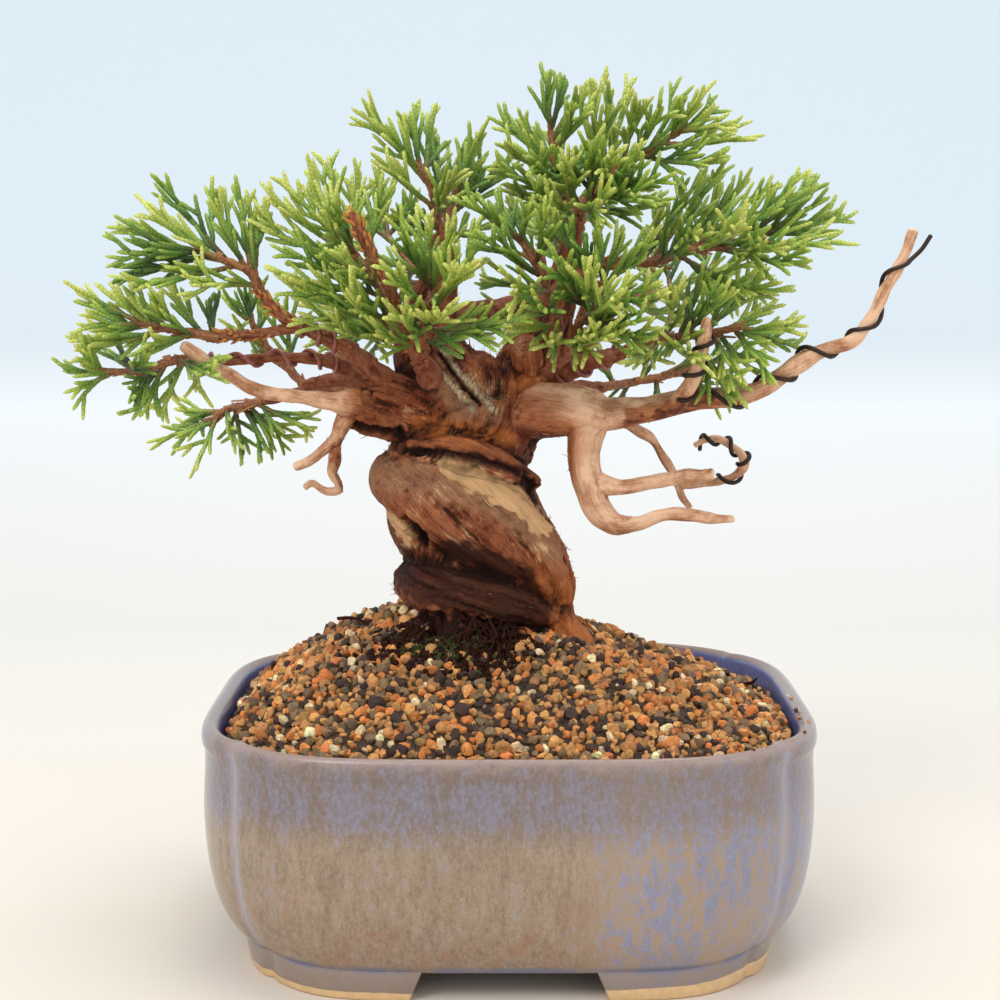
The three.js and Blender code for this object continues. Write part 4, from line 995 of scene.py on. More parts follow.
def grain_finish():
    """Porous grains: each has its own colour, with painted shade in its pits and paler dusty spots."""
    finish = Finish("soil_grains", 0.82)
    tint = finish.attribute("tint")
    pits = finish.cloud(finish.spot(), 1500, 8, 0.75)
    # Painted shade in the pits, and paler dusty spots between them.
    shade = finish.ramp(pits, [(0.3, (0.4, 0.36, 0.32)), (0.5, (1.0,) * 3), (0.72, (1.35, 1.32, 1.25))])
    finish.colour(finish.mix(1.0, tint, shade, "MULTIPLY"))
    finish.relief(pits, 0.3 * MM)
    return finish.material


def bark_finish(wood):
    """Fibrous red-brown bark: strands follow the grain, with dusty bulges and bare strips, and painted shade
    in hollows, creases and valleys.
    """
    finish = Finish("trunk_bark", 0.74, Specular_IOR_Level=0.2)
    grain = finish.attribute("grain")
    height = finish.number("height")
    bare, ash, dust = (finish.part(finish.attribute("skin"), axis) for axis in range(3))
    ember, dark, valley = (finish.part(finish.attribute("shade"), axis) for axis in range(3))
    fibres = finish.cloud(finish.stretch(grain, (1.0, 1.0, 0.08)), 2.8, 8, 0.7, 0.4)
    blotches = finish.cloud(finish.spot(), 150, 6, 0.65)
    grit = finish.cloud(finish.spot(), 1100, 6, 0.75)
    level = finish.add(finish.times(height, 0.4), fibres, 0.6)
    level = finish.add(level, finish.minus(blotches, 0.5), 0.7)
    level = finish.add(level, finish.minus(grit, 0.5), 0.4)
    bark = finish.ramp(level, [
        (0.24, darker(wood.bark_dark, 0.5)), (0.4, wood.bark_dark), (0.56, wood.bark_red),
        (0.8, wood.bark_light),
    ])
    glow = finish.ramp(level, [
        (0.28, darker(wood.bark_ember, 0.25)), (0.5, wood.bark_ember), (0.75, darker(wood.bark_ember, 1.5)),
    ])
    bark = finish.mix(finish.times(ember, 0.8), bark, glow)
    powder = finish.add(blotches, grit, 0.4)
    film = finish.times(dust, finish.step(powder, 0.42, 0.76))
    film = finish.times(film, 0.88)
    dusty = finish.ramp(fibres, [(0.3, darker(wood.bark_dust, 0.5)), (0.6, wood.bark_dust)])
    bark = finish.mix(film, bark, dusty)
    edge = finish.times(finish.minus(fibres, 0.5), 0.9)
    old = finish.ramp(fibres, [
        (0.3, darker(wood.bare_pale, 0.4)), (0.42, darker(wood.bare_pale, 0.85)), (0.55, wood.bare_pale),
        (0.75, paint("ECCFA4")),
    ])
    ragged = finish.times(finish.minus(blotches, 0.5), 1.4)
    uneven = finish.add(edge, ragged)
    bark = finish.mix(finish.step(finish.add(bare, uneven), 0.1, 0.5), bark, old)
    grey = finish.ramp(fibres, [
        (0.36, paint("5A4030")), (0.45, darker(wood.bare_ash, 0.6)), (0.58, wood.bare_ash),
    ])
    bark = finish.mix(finish.step(finish.add(ash, uneven), 0.12, 0.85), bark, grey)
    # Painted shade in the valleys.
    bark = finish.mix(finish.times(valley, 0.8), bark, darker(wood.bark_dark, 0.3))
    shadow = finish.step(finish.add(dark, ragged, 0.5), 0.1, 0.9)
    finish.colour(finish.mix(finish.times(shadow, 0.92), bark, paint("240E08")))
    finish.rough(finish.minus(0.86, finish.times(fibres, 0.3)))
    finish.relief(finish.add(fibres, grit, 0.5), 0.55 * MM)
    return finish.material


def bare_wood_finish(wood):
    """Peach-tan deadwood with fine lengthwise furrows, orange where it leaves the trunk, and painted shade in
    its furrows and hollows.
    """
    finish = Finish("bare_deadwood", 0.62)
    grain = finish.attribute("grain")
    height = finish.number("height")
    tone = finish.attribute("tone")
    fibres = finish.cloud(finish.stretch(grain, (1.0, 1.0, 0.09)), 3.2, 8, 0.68, 0.5)
    blotches = finish.cloud(finish.spot(), 150, 6, 0.66)
    level = finish.add(finish.times(height, 0.12), fibres, 0.25)
    level = finish.add(level, blotches, 0.63)
    bare = finish.ramp(level, [
        (0.3, darker(wood.jin_dark, 0.6)), (0.42, wood.jin_dark), (0.54, wood.jin_light),
        (0.72, paint("EBC9AB")),
    ])
    patch = finish.step(finish.add(finish.part(tone, 2), blotches, 0.7), 0.62, 0.9)
    rough = finish.add(finish.times(fibres, 0.5), blotches, 0.5)
    orange = finish.ramp(rough, [(0.38, paint("7A3C1C")), (0.52, paint("A75D2E")), (0.68, paint("C98C58"))])
    bare = finish.mix(finish.times(patch, 0.9), bare, orange)
    joint = finish.step(finish.add(finish.part(tone, 2), blotches, 0.5), 0.95, 1.1)
    bare = finish.mix(joint, bare, finish.ramp(rough, [(0.36, wood.bark_dark), (0.6, wood.bark_red)]))
    # Painted shade in the furrows and hollows.
    bare = finish.mix(finish.part(tone, 1), bare, paint("4A2A1B"))
    finish.colour(finish.mix(finish.part(tone, 0), bare, paint("E9D2B4")))
    finish.relief(finish.add(fibres, blotches, 0.6), 0.2 * MM)
    return finish.material


def fibre_finish():
    """Loose fibres: each has its own colour."""
    finish = Finish("loose_fibres", 0.8)
    tint = finish.attribute("tint")
    shade = finish.ramp(finish.cloud(finish.spot(), 900, 4), [(0.3, (0.6,) * 3), (0.7, (1.2,) * 3)])
    finish.colour(finish.mix(1.0, tint, shade, "MULTIPLY"))
    return finish.material


def twig_finish(wood):
    """Rough, scaly bark of the live branches."""
    finish = Finish("branch_bark", 0.8)
    grain = finish.attribute("grain")
    height = finish.number("height")
    flakes = finish.cloud(finish.stretch(grain, (1.0, 1.0, 0.35)), 1.6, 7, 0.7)
    level = finish.add(finish.times(height, 0.4), flakes, 0.7)
    finish.colour(finish.ramp(level, [
        (0.3, darker(wood.bark_dark, 0.7)), (0.48, wood.bark_red), (0.66, paint("9C6446")),
        (0.95, paint("CC873F")),
    ]))
    finish.relief(flakes, 0.5 * MM)
    return finish.material


def wire_finish(name, colour, metal):
    """Annealed wire with a dull skin."""
    finish = Finish(name, 0.42, Metallic=metal)
    dull = finish.cloud(finish.spot(), 600, 5, 0.6)
    finish.colour(finish.ramp(dull, [(0.3, darker(colour, 0.6)), (0.6, colour), (0.8, darker(colour, 1.3))]))
    finish.rough(finish.add(0.25, dull, 0.35))
    finish.relief(dull, 0.06 * MM)
    return finish.material


def cord_finish(foliage):
    """Scale-leaved cords: dark green inside the spray, yellow-green at the tips, brown where woody."""
    finish = Finish("juniper_cords", 0.48, Subsurface_Weight=0.1, Subsurface_Scale=0.5 * MM)
    finish.fill(finish.shader, Subsurface_Radius=(0.6, 1.0, 0.25))
    growth, hue, woody = (finish.part(finish.attribute("tone"), axis) for axis in range(3))
    leaf = finish.attribute("leaf")
    pair = finish.times(finish.step(finish.part(leaf, 0), -0.3, 0.3), 0.5)
    scale = finish.math("FRACT", finish.add(finish.part(leaf, 1), pair))
    spots = finish.cloud(finish.spot(), 1900, 5, 0.7)
    level = finish.add(growth, finish.minus(spots, 0.5), 0.4)
    level = finish.add(level, hue, 0.2)
    green = finish.ramp(level, [
        (0.08, foliage.old_green), (0.4, foliage.leaf_green), (0.7, foliage.fresh_green),
        (0.95, foliage.tip_green),
    ])
    brown = finish.ramp(finish.add(spots, hue, 0.15), [
        (0.3, darker(foliage.twig, 0.35)), (0.5, foliage.twig), (0.72, paint("BE8150")),
    ])
    lights = ((0.0, 0.62), (0.3, 1.0), (0.8, 1.12), (1.0, 0.85))
    shade = finish.ramp(scale, [(at, (light,) * 3) for at, light in lights])
    finish.colour(finish.mix(1.0, finish.mix(woody, green, brown), shade, "MULTIPLY"))
    finish.relief(finish.add(spots, scale, 0.7), 0.2 * MM)
    return finish.material


def mesh_finish():
    """Black moulded plastic."""
    stops = [(0.3, paint("141614")), (0.8, paint("2A2E2B"))]
    return speckled_finish("drain_plastic", 0.55, (500, 4), stops, 0.05 * MM)


def crust_finish(soil):
    """Almost black rootlets and crumbs at the foot of the trunk."""
    stops = [(0.34, darker(soil.crust, 0.4)), (0.56, soil.crust), (0.78, darker(soil.crust, 4))]
    return speckled_finish("root_crust", 0.85, (1100, 7, 0.7), stops, 0.5 * MM, Specular_IOR_Level=0.15)


def moss_finish():
    """Dull green moss."""
    stops = [(0.3, paint("23300F")), (0.6, paint("4E5F22")), (0.8, paint("7C8443"))]
    return speckled_finish("moss", 0.9, (1300, 5, 0.7), stops, 0.4 * MM)


# ---- the pot

LOBE_POWER = 5  # how flat the lobes are between the corners
DEPTH_SHARE = 0.6  # the front and back walls taper less than the sides
LOBE_STEPS = 72  # how many corners of the mesh one lobe has
CREASE_REACH = 1.3 * MM  # how far the groove at each corner reaches to either side
FRONT_GAP = (18, 15.7)  # half-widths of the front gap, at the floor and at its top
SIDE_GAP = (12.5, 10.5)  # the same of the side gap
RIM_LITTER = (0.72, 1.7)  # the part of the outline, in lobes, where crumbs lie on the rim
# Sections of the pot, as inset from the outline and height: the underside from the drain hole outwards,
# the wall from there over the rim to the inner floor, and one foot.
UNDERSIDE = [(16, 5.2), (9.2, 5.2), (8.2, 5.35)]
WALL_PROFILE = [
    (7.8, 5.6), (5.6, 7.4), (3, 11.4), (1.1, 18), (0.2, 28), (0.5, 40.4), (0, 42), (0.3, 44.2), (1.7, 45),
    (3.2, 44.2), (3.6, 42), (4.4, 26), (9.6, 8.8),
]
FOOT_SECTION = [
    (15.6, 6.4), (15.5, 3), (15.4, 0.5), (14.9, 0), (12, 0), (8.8, 0), (8.3, 0.5), (7.95, 2.6), (7.6, 4.6),
    (7.75, 5.6), (8.6, 6.4),
]


def pot_plan(pot):
    """The outline, its inward directions and how near each place is to a crease, sampled over the lobes.

    The lobes run anticlockwise from the front. Their samples crowd towards the corners.
    """
    s = np.sin(np.linspace(-1, 1, LOBE_STEPS, endpoint=False) * math.pi / 2)
    bulge = 1 - np.abs(s) ** LOBE_POWER
    deep = pot.half_depth - pot.corner_y
    wide = pot.half_width - pot.corner_x
    front = np.stack([pot.corner_x * s, -pot.corner_y - deep * bulge], axis=-1)
    right = np.stack([pot.corner_x + wide * bulge, pot.corner_y * s], axis=-1)
    outline = np.vstack([front, right, -front, -right])
    run = np.roll(outline, -1, axis=0) - np.roll(outline, 1, axis=0)
    inward = unit(np.stack([-run[:, 1], run[:, 0]], axis=-1))
    soften = 4
    inward = unit(sum(np.roll(inward, shift, axis=0) for shift in range(-soften, soften + 1)))
    corners = outline[::LOBE_STEPS]
    away = np.linalg.norm(outline[:, None] - corners[None], axis=-1).min(axis=1)
    crease = np.exp(-(away / CREASE_REACH) ** 2)
    return outline + inward * crease[:, None] * pot.crease_depth, inward, crease


def lobe_share(s):
    """Where a place lies along a lobe, from its start to its end, when s runs from minus one to one."""
    return 0.5 + math.asin(s) / math.pi


def on_plan(plan, lobe, inset, height):
    """A point of the pot: lobe counts round the outline in lobes, inset and height are in millimetres."""
    outline, inward, _ = plan
    index = (np.asarray(lobe) * LOBE_STEPS) % len(outline)
    low = np.floor(index).astype(int)
    share = (index - low)[..., None]
    high = (low + 1) % len(outline)
    spot = outline[low] * (1 - share) + outline[high] * share
    inwards = inward[low] * (1 - share) + inward[high] * share
    x = spot[..., 0] + inwards[..., 0] * inset * MM + POT_CENTRE[0]
    y = spot[..., 1] + inwards[..., 1] * inset * MM * DEPTH_SHARE + POT_CENTRE[1]
    return np.stack([x, y, np.broadcast_to(np.asarray(height) * MM, x.shape)], axis=-1)


def pot_bowl(plan, pot):
    """Corners, faces and per-corner values of the bowl, a closed form round its drain hole."""
    wall = smooth_line(np.array(WALL_PROFILE), 5)
    lobes = np.arange(4 * LOBE_STEPS) / LOBE_STEPS
    rows = [on_plan(plan, lobes, inset, height) for inset, height in (*UNDERSIDE, *wall)]
    directions = np.arctan2(rows[0][:, 1] - POT_CENTRE[1], rows[0][:, 0] - POT_CENTRE[0])
    drain = np.stack([np.cos(directions), np.sin(directions), 0 * directions], axis=-1) * pot.drain_radius
    edge = 0.4 * MM
    levels = (pot.floor_height, pot.floor_height - edge, pot.foot_height + edge, pot.foot_height)
    rows += [drain + POT_CENTRE + [0, 0, height] for height in levels]
    count = len(lobes)
    rings = len(rows)
    walled = slice(len(UNDERSIDE), -len(levels))
    crease = np.zeros((rings, count))
    crease[walled] = plan[2]
    lining = np.zeros((rings, count))
    lining[walled] = smoothstep(2.6, 3.8, wall[:, :1]) * (wall[:, 1:2] < pot.rim_height / MM)
    lining[walled][np.arange(len(wall)) < wall[:, 1].argmax()] = 0
    ring = np.arange(count)
    after = (ring + 1) % count
    starts = np.arange(rings)[:, None] * count
    above = (np.arange(rings)[:, None] + 1) % rings * count
    faces = np.stack([starts + ring, starts + after, above + after, above + ring], axis=-1)
    return np.vstack(rows), faces.reshape(-1, 4), {"crease": crease.ravel(), "lining": lining.ravel()}


def pot_foot(plan, pot):
    """Corners and faces of the foot at the front right corner."""
    steps = 22
    columns = []
    for inset, height in FOOT_SECTION:
        rise = height / (pot.foot_height / MM)
        front = (FRONT_GAP[0] + (FRONT_GAP[1] - FRONT_GAP[0]) * rise) * MM / pot.corner_x
        side = (SIDE_GAP[0] + (SIDE_GAP[1] - SIDE_GAP[0]) * rise) * MM / pot.corner_y
        first = np.linspace(lobe_share(front), 1, steps, endpoint=False)
        second = 1 + np.linspace(0, lobe_share(-side), steps)
        columns.append(on_plan(plan, np.concatenate([first, second]), inset, height))
    rings = np.stack(columns, axis=1)
    count = len(FOOT_SECTION)
    length = len(rings)
    walls, ring, _ = side_faces(length, count)
    ends = [ring[None], (length - 1) * count + ring[None, ::-1]]
    return rings.reshape(-1, 3), [walls[:, [1, 0, 3, 2]], *ends]


class JUNIPER_OT_pot(Operator):
    """Builds the glazed pot on its four feet"""

    bl_idname = "juniper.pot"
    bl_label = "Glazed pot"

    def execute(self, context):
        settings = context.scene.juniper_pot
        plan = pot_plan(settings)
        shape = Shape()
        corners, faces, values = pot_bowl(plan, settings)
        shape.add(corners, [faces], **values)
        corners, faces = pot_foot(plan, settings)
        for across in (1, -1):
            for along in (1, -1):
                mirrored = (corners - POT_CENTRE) * [across, along, 1] + POT_CENTRE
                outward = faces if across * along > 0 else [face[:, ::-1] for face in faces]
                shape.add(mirrored, outward, crease=0.0, lining=0.0)
        pot = shape.piece("glazed_pot", glaze_finish(settings))
        edges = pot.modifiers.new("soft_edges", "BEVEL")
        edges.width = 0.35 * MM
        edges.segments = 3
        edges.limit_method = "ANGLE"
        edges.angle_limit = math.radians(50)
        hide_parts("pot")
        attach(pot, "root")
        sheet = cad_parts["drain_mesh"]
        sheet.data.materials.clear()
        sheet.data.materials.append(mesh_finish())
        return {"FINISHED"}


# ---- the soil

class Heap:
    """The surface of the soil, felt from above."""

    SKY = 0.2  # a height above everything, from which the soil is felt
    LOWEST = 34 * MM  # anything lower is a hole in the soil, not its surface

    def __init__(self):
        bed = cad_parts["soil"]
        spots = [bed.matrix_world @ vertex.co for vertex in bed.data.vertices]
        faces = [tuple(polygon.vertices) for polygon in bed.data.polygons]
        self.tree = BVHTree.FromPolygons(spots, faces)

    def height(self, x, y):
        """The height of the soil under a place, or nothing where there is none."""
        hit = self.tree.ray_cast(Vector((x, y, self.SKY)), Vector((0, 0, -1)))[0]
        return hit.z if hit and hit.z > self.LOWEST else None

    def holds(self, x, y, margin):
        """Whether there is soil on all sides of a place."""
        sides = ((margin, 0), (-margin, 0), (0, margin), (0, -margin))
        return all(self.height(x + across, y + along) is not None for across, along in sides)


def ball():
    """The corners and faces of a small round form with eighty even faces."""
    form = bmesh.new()
    bmesh.ops.create_icosphere(form, subdivisions=2, radius=1.0)
    corners = np.array([corner.co[:] for corner in form.verts])
    faces = np.array([[corner.index for corner in face.verts] for face in form.faces])
    form.free()
    return corners, faces


def broken_grain(corners, size, chance):
    """A ball flattened by a few random chips, as a broken stone is."""
    stone = corners * chance.uniform(0.75, 1.25, 3)
    for _ in range(9):
        direction = unit(chance.normal(size=3))
        over = np.clip(stone @ direction - chance.uniform(0.42, 0.8), 0, None)
        stone = stone - over[:, None] * direction
    return stone * size


# How the thick limbs of the trunk are drawn: their routes, the corners round them, their flutes,
# the depth of these as a share of the radius, and how far they turn from end to end.
TRUNK_FORMS = [
    ([COLUMN], 48, 4, 0.05, 5), (MUSCLES, 28, 3, 0.06, 3), (ROOTS, 24, 3, 0.08, 3), (LEADERS, 28, 3, 0.06, 4),
    ([KNOB], 20, 3, 0.05, 0),
]


def trunk_limbs():
    """The thick limbs of the trunk."""
    return [Limb.follow(route, 6) for routes, *_ in TRUNK_FORMS for route in routes]


def inside_wood(corners, limbs, margin):
    """Whether each corner lies inside any limb, deeper than a margin."""
    result = np.zeros(len(corners), dtype=bool)
    for limb in limbs:
        gap = np.linalg.norm(corners[:, None] - limb.points[None], axis=-1) - limb.radii
        result |= gap.min(axis=1) < -margin
    return result


class JUNIPER_OT_soil(Operator):
    """Heaps loose grains over the soil"""

    bl_idname = "juniper.soil"
    bl_label = "Grains of soil"
    ROW_SHARE = 0.87  # rows lie closer than the grains of one row, as in a honeycomb
    LARGEST = 1.7 * MM
    ON_RIM = 16

    def execute(self, context):
        soil = context.scene.juniper_soil
        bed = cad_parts["soil"]
        bed.data.materials.clear()
        bed.data.materials.append(soil_bed_finish(soil))
        chance = np.random.default_rng(soil.seed)
        corners, faces = ball()
        palette = [
            ("grains_baked_clay", soil.tan, 0.4), ("grains_fired_clay", soil.orange, 0.16),
            ("grains_lava", soil.olive, 0.2), ("grains_lava", soil.dark, 0.19),
            ("grains_pumice", soil.pale, 0.05),
        ]
        shapes = {name: Shape() for name, _, _ in palette}
        shares = np.array([share for _, _, share in palette])
        for spot, size in self.scatter(context.scene.juniper_pot, soil, chance):
            kind = chance.choice(len(palette), p=shares / shares.sum())
            name, colour, _ = palette[kind]
            stone = broken_grain(corners, size, chance)
            tint = np.array(colour) * chance.uniform(0.6, 1.35) * chance.uniform(0.93, 1.07, 3)
            shapes[name].add(stone + spot, [faces], tint=np.clip(tint, 0, 1))
        finish = grain_finish()
        for name, shape in shapes.items():
            grains = shape.piece(name, finish)
            grains.data.set_sharp_from_angle(angle=math.radians(30))
            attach(grains, "root")
        return {"FINISHED"}

    def scatter(self, pot, soil, chance):
        """The middle and size of every grain, in jittered rows over the heap and a few on the rim."""
        heap = Heap()
        grains = []
        lower = (soil.spacing, 0.1 * MM, 0.5 * MM)
        upper = (soil.spacing * 1.9, 0.8 * MM, 1.6 * MM)
        for step, lift, margin in (lower, upper):
            for row, y in enumerate(np.arange(-pot.half_depth, pot.half_depth, step * self.ROW_SHARE)):
                for x in np.arange(-pot.half_width, pot.half_width, step) + (row % 2) * step / 2:
                    x_place, y_place = POT_CENTRE[:2] + (x, y) + chance.uniform(-0.35, 0.35, 2) * step
                    size = min(soil.grain_radius * chance.lognormal(0.0, 0.26), self.LARGEST)
                    if heap.holds(x_place, y_place, margin):
                        height = heap.height(x_place, y_place) + lift + chance.uniform(-0.3, 0.3) * MM
                        grains.append((np.array([x_place, y_place, height]), size))
        plan = pot_plan(pot)
        for lobe in chance.uniform(*RIM_LITTER, self.ON_RIM):
            spot = on_plan(plan, lobe, chance.uniform(1.2, 3.2), pot.rim_height / MM - 0.1)
            grains.append((spot, chance.uniform(0.25, 0.55) * MM))
        feet = np.array([spot for spot, _ in grains])
        free = ~inside_wood(feet, trunk_limbs(), 0.6 * MM)
        return [grain for grain, stays in zip(grains, free) if stays]


class JUNIPER_OT_litter(Operator):
    """Lays dark rootlets, crumbs, moss and a few twigs on the soil"""

    bl_idname = "juniper.litter"
    bl_label = "Rootlets and moss"
    ROOTLETS, CRUMBS, TUFTS = 340, 1300, 70
    ROOTLET_HEART = np.array([-5, -1])
    CRUMB_HEART = np.array([-12, -19])

    def execute(self, context):
        soil = context.scene.juniper_soil
        chance = np.random.default_rng(soil.seed + 5)
        heap = Heap()
        crust = Shape()
        for _ in range(self.ROOTLETS):
            turn = math.radians(chance.uniform(205, 290))
            out = np.array([math.cos(turn), math.sin(turn)])
            near, far = chance.uniform(10, 15), chance.uniform(15, 21)
            start = place([[*(self.ROOTLET_HEART + out * near), chance.uniform(56, 63)]])[0]
            end = place([[*(self.ROOTLET_HEART + out * far + chance.normal(size=2) * 3), 0]])[0]
            self.rootlet(crust, heap, start, end, chance.uniform(0.15, 0.42) * MM, chance)
        for route in (SPRIG, FALLEN_TWIG):
            bed = [heap.height(*place([[x, y, 0]])[0][:2]) / MM for x, y, lift, radius in route]
            limb = Limb.follow([[x, y, low + lift, r] for (x, y, lift, r), low in zip(route, bed)], 5)
            crust.add(*tube(limb, 7, swell(limb, 7, 2, 0.25, 9)))
        corners, faces = ball()
        for x, y, height in self.spots(heap, self.CRUMBS, chance):
            crumb = broken_grain(corners, chance.uniform(0.25, 0.85) * MM, chance)
            crust.add(crumb + [x, y, height + chance.uniform(0.4, 1.3) * MM], [faces])
        moss = Shape()
        for x, y, height in self.spots(heap, self.TUFTS, chance):
            self.tuft(moss, np.array([x, y, height + 1.4 * MM]), chance)
        crusts = (("root_crust", crust, crust_finish(soil)), ("moss_tufts", moss, moss_finish()))
        for name, shape, finish in crusts:
            piece = shape.piece(name, finish)
            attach(piece, "root")
        return {"FINISHED"}

    def spots(self, heap, count, chance):
        """Places on the heap in front of the trunk's foot."""
        places = []
        while len(places) < count:
            x, y = place([[*(self.CRUMB_HEART + chance.normal(size=2) * [6, 3.2]), 0]])[0][:2]
            height = heap.height(x, y)
            if height is not None:
                places.append((x, y, height))
        return places

    def rootlet(self, shape, heap, start, end, radius, chance):
        """One crooked rootlet that comes down from the trunk and lies on the heap."""
        count = 7
        shares = np.linspace(0, 1, count)[:, None]
        points = start * (1 - shares) + end * shares + chance.normal(size=(count, 3)) * 0.7 * MM
        for i, point in enumerate(points):
            ground = heap.height(point[0], point[1])
            ground = start[2] if ground is None else ground
            drop = (i / (count - 1)) ** 0.7
            point[2] = start[2] * (1 - drop) + ground * drop + chance.uniform(0.2, 0.9) * MM
        limb = Limb(points, radius * np.linspace(1, 0.4, count), 3)
        shape.add(*tube(limb, 6, swell(limb, 6, 2, 0.2, 9)))

    def tuft(self, shape, foot, chance):
        """One tuft of moss: a few fine blades from one place."""
        for _ in range(8):
            tip = foot + unit(chance.normal(size=3) * 0.6 + [0, -0.3, 1]) * chance.uniform(0.5, 1.1) * MM
            points = np.array([foot + chance.normal(size=3) * 0.25 * MM, tip])
            shape.add(*tube(Limb(points, np.array([0.16, 0.05]) * MM, 1), 3))


# ---- the wood

class JUNIPER_OT_trunk(Operator):
    """Grows the twisted trunk with its strands of bark, hollows and bare strips"""

    bl_idname = "juniper.trunk"
    bl_label = "Twisted trunk"

    def execute(self, context):
        wood = context.scene.juniper_wood
        shape = Shape()
        sections = [section for routes, *section in TRUNK_FORMS for _ in routes]
        for limb, (count, *flutes) in zip(trunk_limbs(), sections):
            shape.add(*tube(limb, count, swell(limb, count, *flutes)))
        trunk = fuse(shape, "trunk_bark_skin", wood.bark_skin, 4)
        fibres = self.carve(trunk, wood)
        branches = self.branches(wood)
        for piece in (trunk, fibres, branches):
            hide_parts("trunk")
            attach(piece, "root")
        return {"FINISHED"}

    def carve(self, trunk, wood):
        """Works strands, hollows and bare strips into the skin, and returns its loose fibres."""
        corners = corners_of(trunk)
        normals = normals_of(trunk)
        grain, way = grain_coordinates(corners, trunk_limbs(), 0.05)
        kinds = {kind: nearness(corners, normals, routes) for kind, routes in TRUNK_SKIN.items()}
        bare = smoothstep(0, 0.7, kinds["bare"])
        smooth = np.clip(bare + 0.75 * smoothstep(0.05, 0.6, kinds["dust"]), 0, 1)
        shaggy = smoothstep(-0.1, 0.35, lumps(corners, 10 * MM)) * (1 - smooth)
        ridges = strands(grain, 0.26, 0.03, 3)
        fine = strands(grain + 40, 1.0, 0.07, 3)
        rough = 1 - 0.6 * smooth
        lift = 1.3 * (ridges - 0.5) * rough + (0.3 + 1.4 * shaggy) * (fine - 0.5) * rough
        lift = lift * wood.strand_depth + lumps(corners, 6 * MM) * 0.55 * MM + smooth * 0.5 * MM
        lift = lift - smoothstep(0.1, 0.9, kinds["dark"]) * 1.5 * MM
        lift = lift - smoothstep(0, 0.8, kinds["hollow"]) * 3.4 * MM
        lift = lift - bare * 0.7 * MM - smoothstep(0.1, 0.5, kinds["ash"]) * 0.5 * MM
        corners = corners + normals * lift[:, None]
        move_corners(trunk, corners)
        normals = normals_of(trunk)
        valley = valley_depth(trunk, corners, normals, 40)
        write_values(trunk.data, "grain", grain)
        # The height also sinks in the valleys, so the bark is painted darker there as shade.
        write_values(trunk.data, "height", np.clip(0.5 * ridges + 0.5 * fine - 0.5 * valley, 0, 1))
        dust = smoothstep(0.1, 0.9, kinds["dust"]) + 0.25 * smoothstep(0.05, -0.4, valley)
        skin = np.stack([kinds["bare"], kinds["ash"], np.clip(dust, 0, 1)], axis=-1)
        write_values(trunk.data, "skin", skin)
        # The shade values: the warm bark of the foot; painted shade of the dark routes, the hollows and under
        # the rolls; painted shade in the valleys.
        dark = np.maximum(smoothstep(0, 0.7, kinds["dark"]) * 0.9, smoothstep(0.05, 0.6, kinds["hollow"]))
        dark = np.maximum(dark, 0.72 * smoothstep(0, 0.5, kinds["shade_under_rolls"]))
        ember = smoothstep(0, 0.7, kinds["ember"])
        shade = np.stack([ember, dark, smoothstep(0.08, 0.8, valley)], axis=-1)
        write_values(trunk.data, "shade", shade)
        trunk.data.materials.append(bark_finish(wood))
        loose = Shape()
        edge = smoothstep(0.35, 0.05, np.abs(normals[:, 1]))
        weights = (0.1 + shaggy) * (0.4 + 1.6 * edge) * (1 - 0.85 * bare) * smoothstep(0.3, -0.3, valley)
        weights = weights * (1 - 0.85 * np.clip(dark, 0, 1))
        colours = [wood.bark_red, wood.bark_light, wood.bark_dark, wood.bark_dust]
        fray(loose, corners, normals, way, weights, wood.fibres, colours, np.random.default_rng(3))
        return loose.piece("trunk_loose_fibres", fibre_finish())

    def branches(self, wood):
        """The live branches, scaly and uneven."""
        shape = Shape()
        count = 14
        angles = np.arange(count) * 2 * math.pi / count
        for i, route in enumerate(BRANCHES):
            limb = Limb.follow(route, 10)
            run = limb.run / MM
            grain = np.stack([
                np.cos(angles)[None] * limb.radii[:, None] / MM,
                np.sin(angles)[None] * limb.radii[:, None] / MM,
                np.broadcast_to(run[:, None] + 31 * i, (len(run), count)),
            ], axis=-1).reshape(-1, 3)
            flakes = strands(grain, 1.1, 0.5, 3).reshape(len(run), count)
            knots = np.array([noise.noise(Vector((r * 0.35, 7.7 * i, 0))) for r in run])
            reach = limb.radii[:, None] * (0.92 + 0.3 * (flakes - 0.4) + 0.16 * knots[:, None])
            corners, faces = tube(limb, count, reach)
            ends = grain[[0, -1]]
            shape.add(
                corners, faces, grain=np.vstack([grain, ends]),
                height=np.concatenate([flakes.ravel(), [0.5, 0.5]]),
            )
            if i in SCALY_BRANCHES:
                self.scales(shape, limb, np.random.default_rng(i))
        return shape.piece("live_branches", twig_finish(wood))

    def scales(self, shape, limb, chance):
        """Dead scale leaves that cling to a branch, longest at its end."""
        for share in np.arange(0.15, 1, 0.35 * MM / limb.run[-1]):
            index = limb.at(share)
            foot = limb.around(index, chance.uniform(0, 2 * math.pi), limb.radii[index] * 0.8)
            out = unit(unit(foot - limb.points[index]) * 0.55 + limb.along[index])
            length = chance.uniform(0.8, 1.5) * (0.7 + 0.6 * share) * MM
            points = np.array([foot, foot + out * length * 0.5, foot + out * length])
            corners, faces = tube(Limb(points, np.array([0.3, 0.34, 0.1]) * MM, 2), 5)
            height = chance.uniform(0.7, 1.3) + (0.7 if share > 0.75 else 0)
            shape.add(corners, faces, grain=corners / MM, height=height)


JIN_SLIMNESS = 0.95  # bare limbs have shrunk a little under their wire
# The bare limbs of each side, where they leave the trunk, and how far from there they still have old bark.
JINS = {
    "jin_right": ([WHIP, STUB, FORK, PRONG, BACK_ARM, CURL], [4, -6, 94], 14),
    "jin_left": ([LEFT_ARM, LOW_ARM, LOW_CROOK], [-27, -5, 102], 9),
}


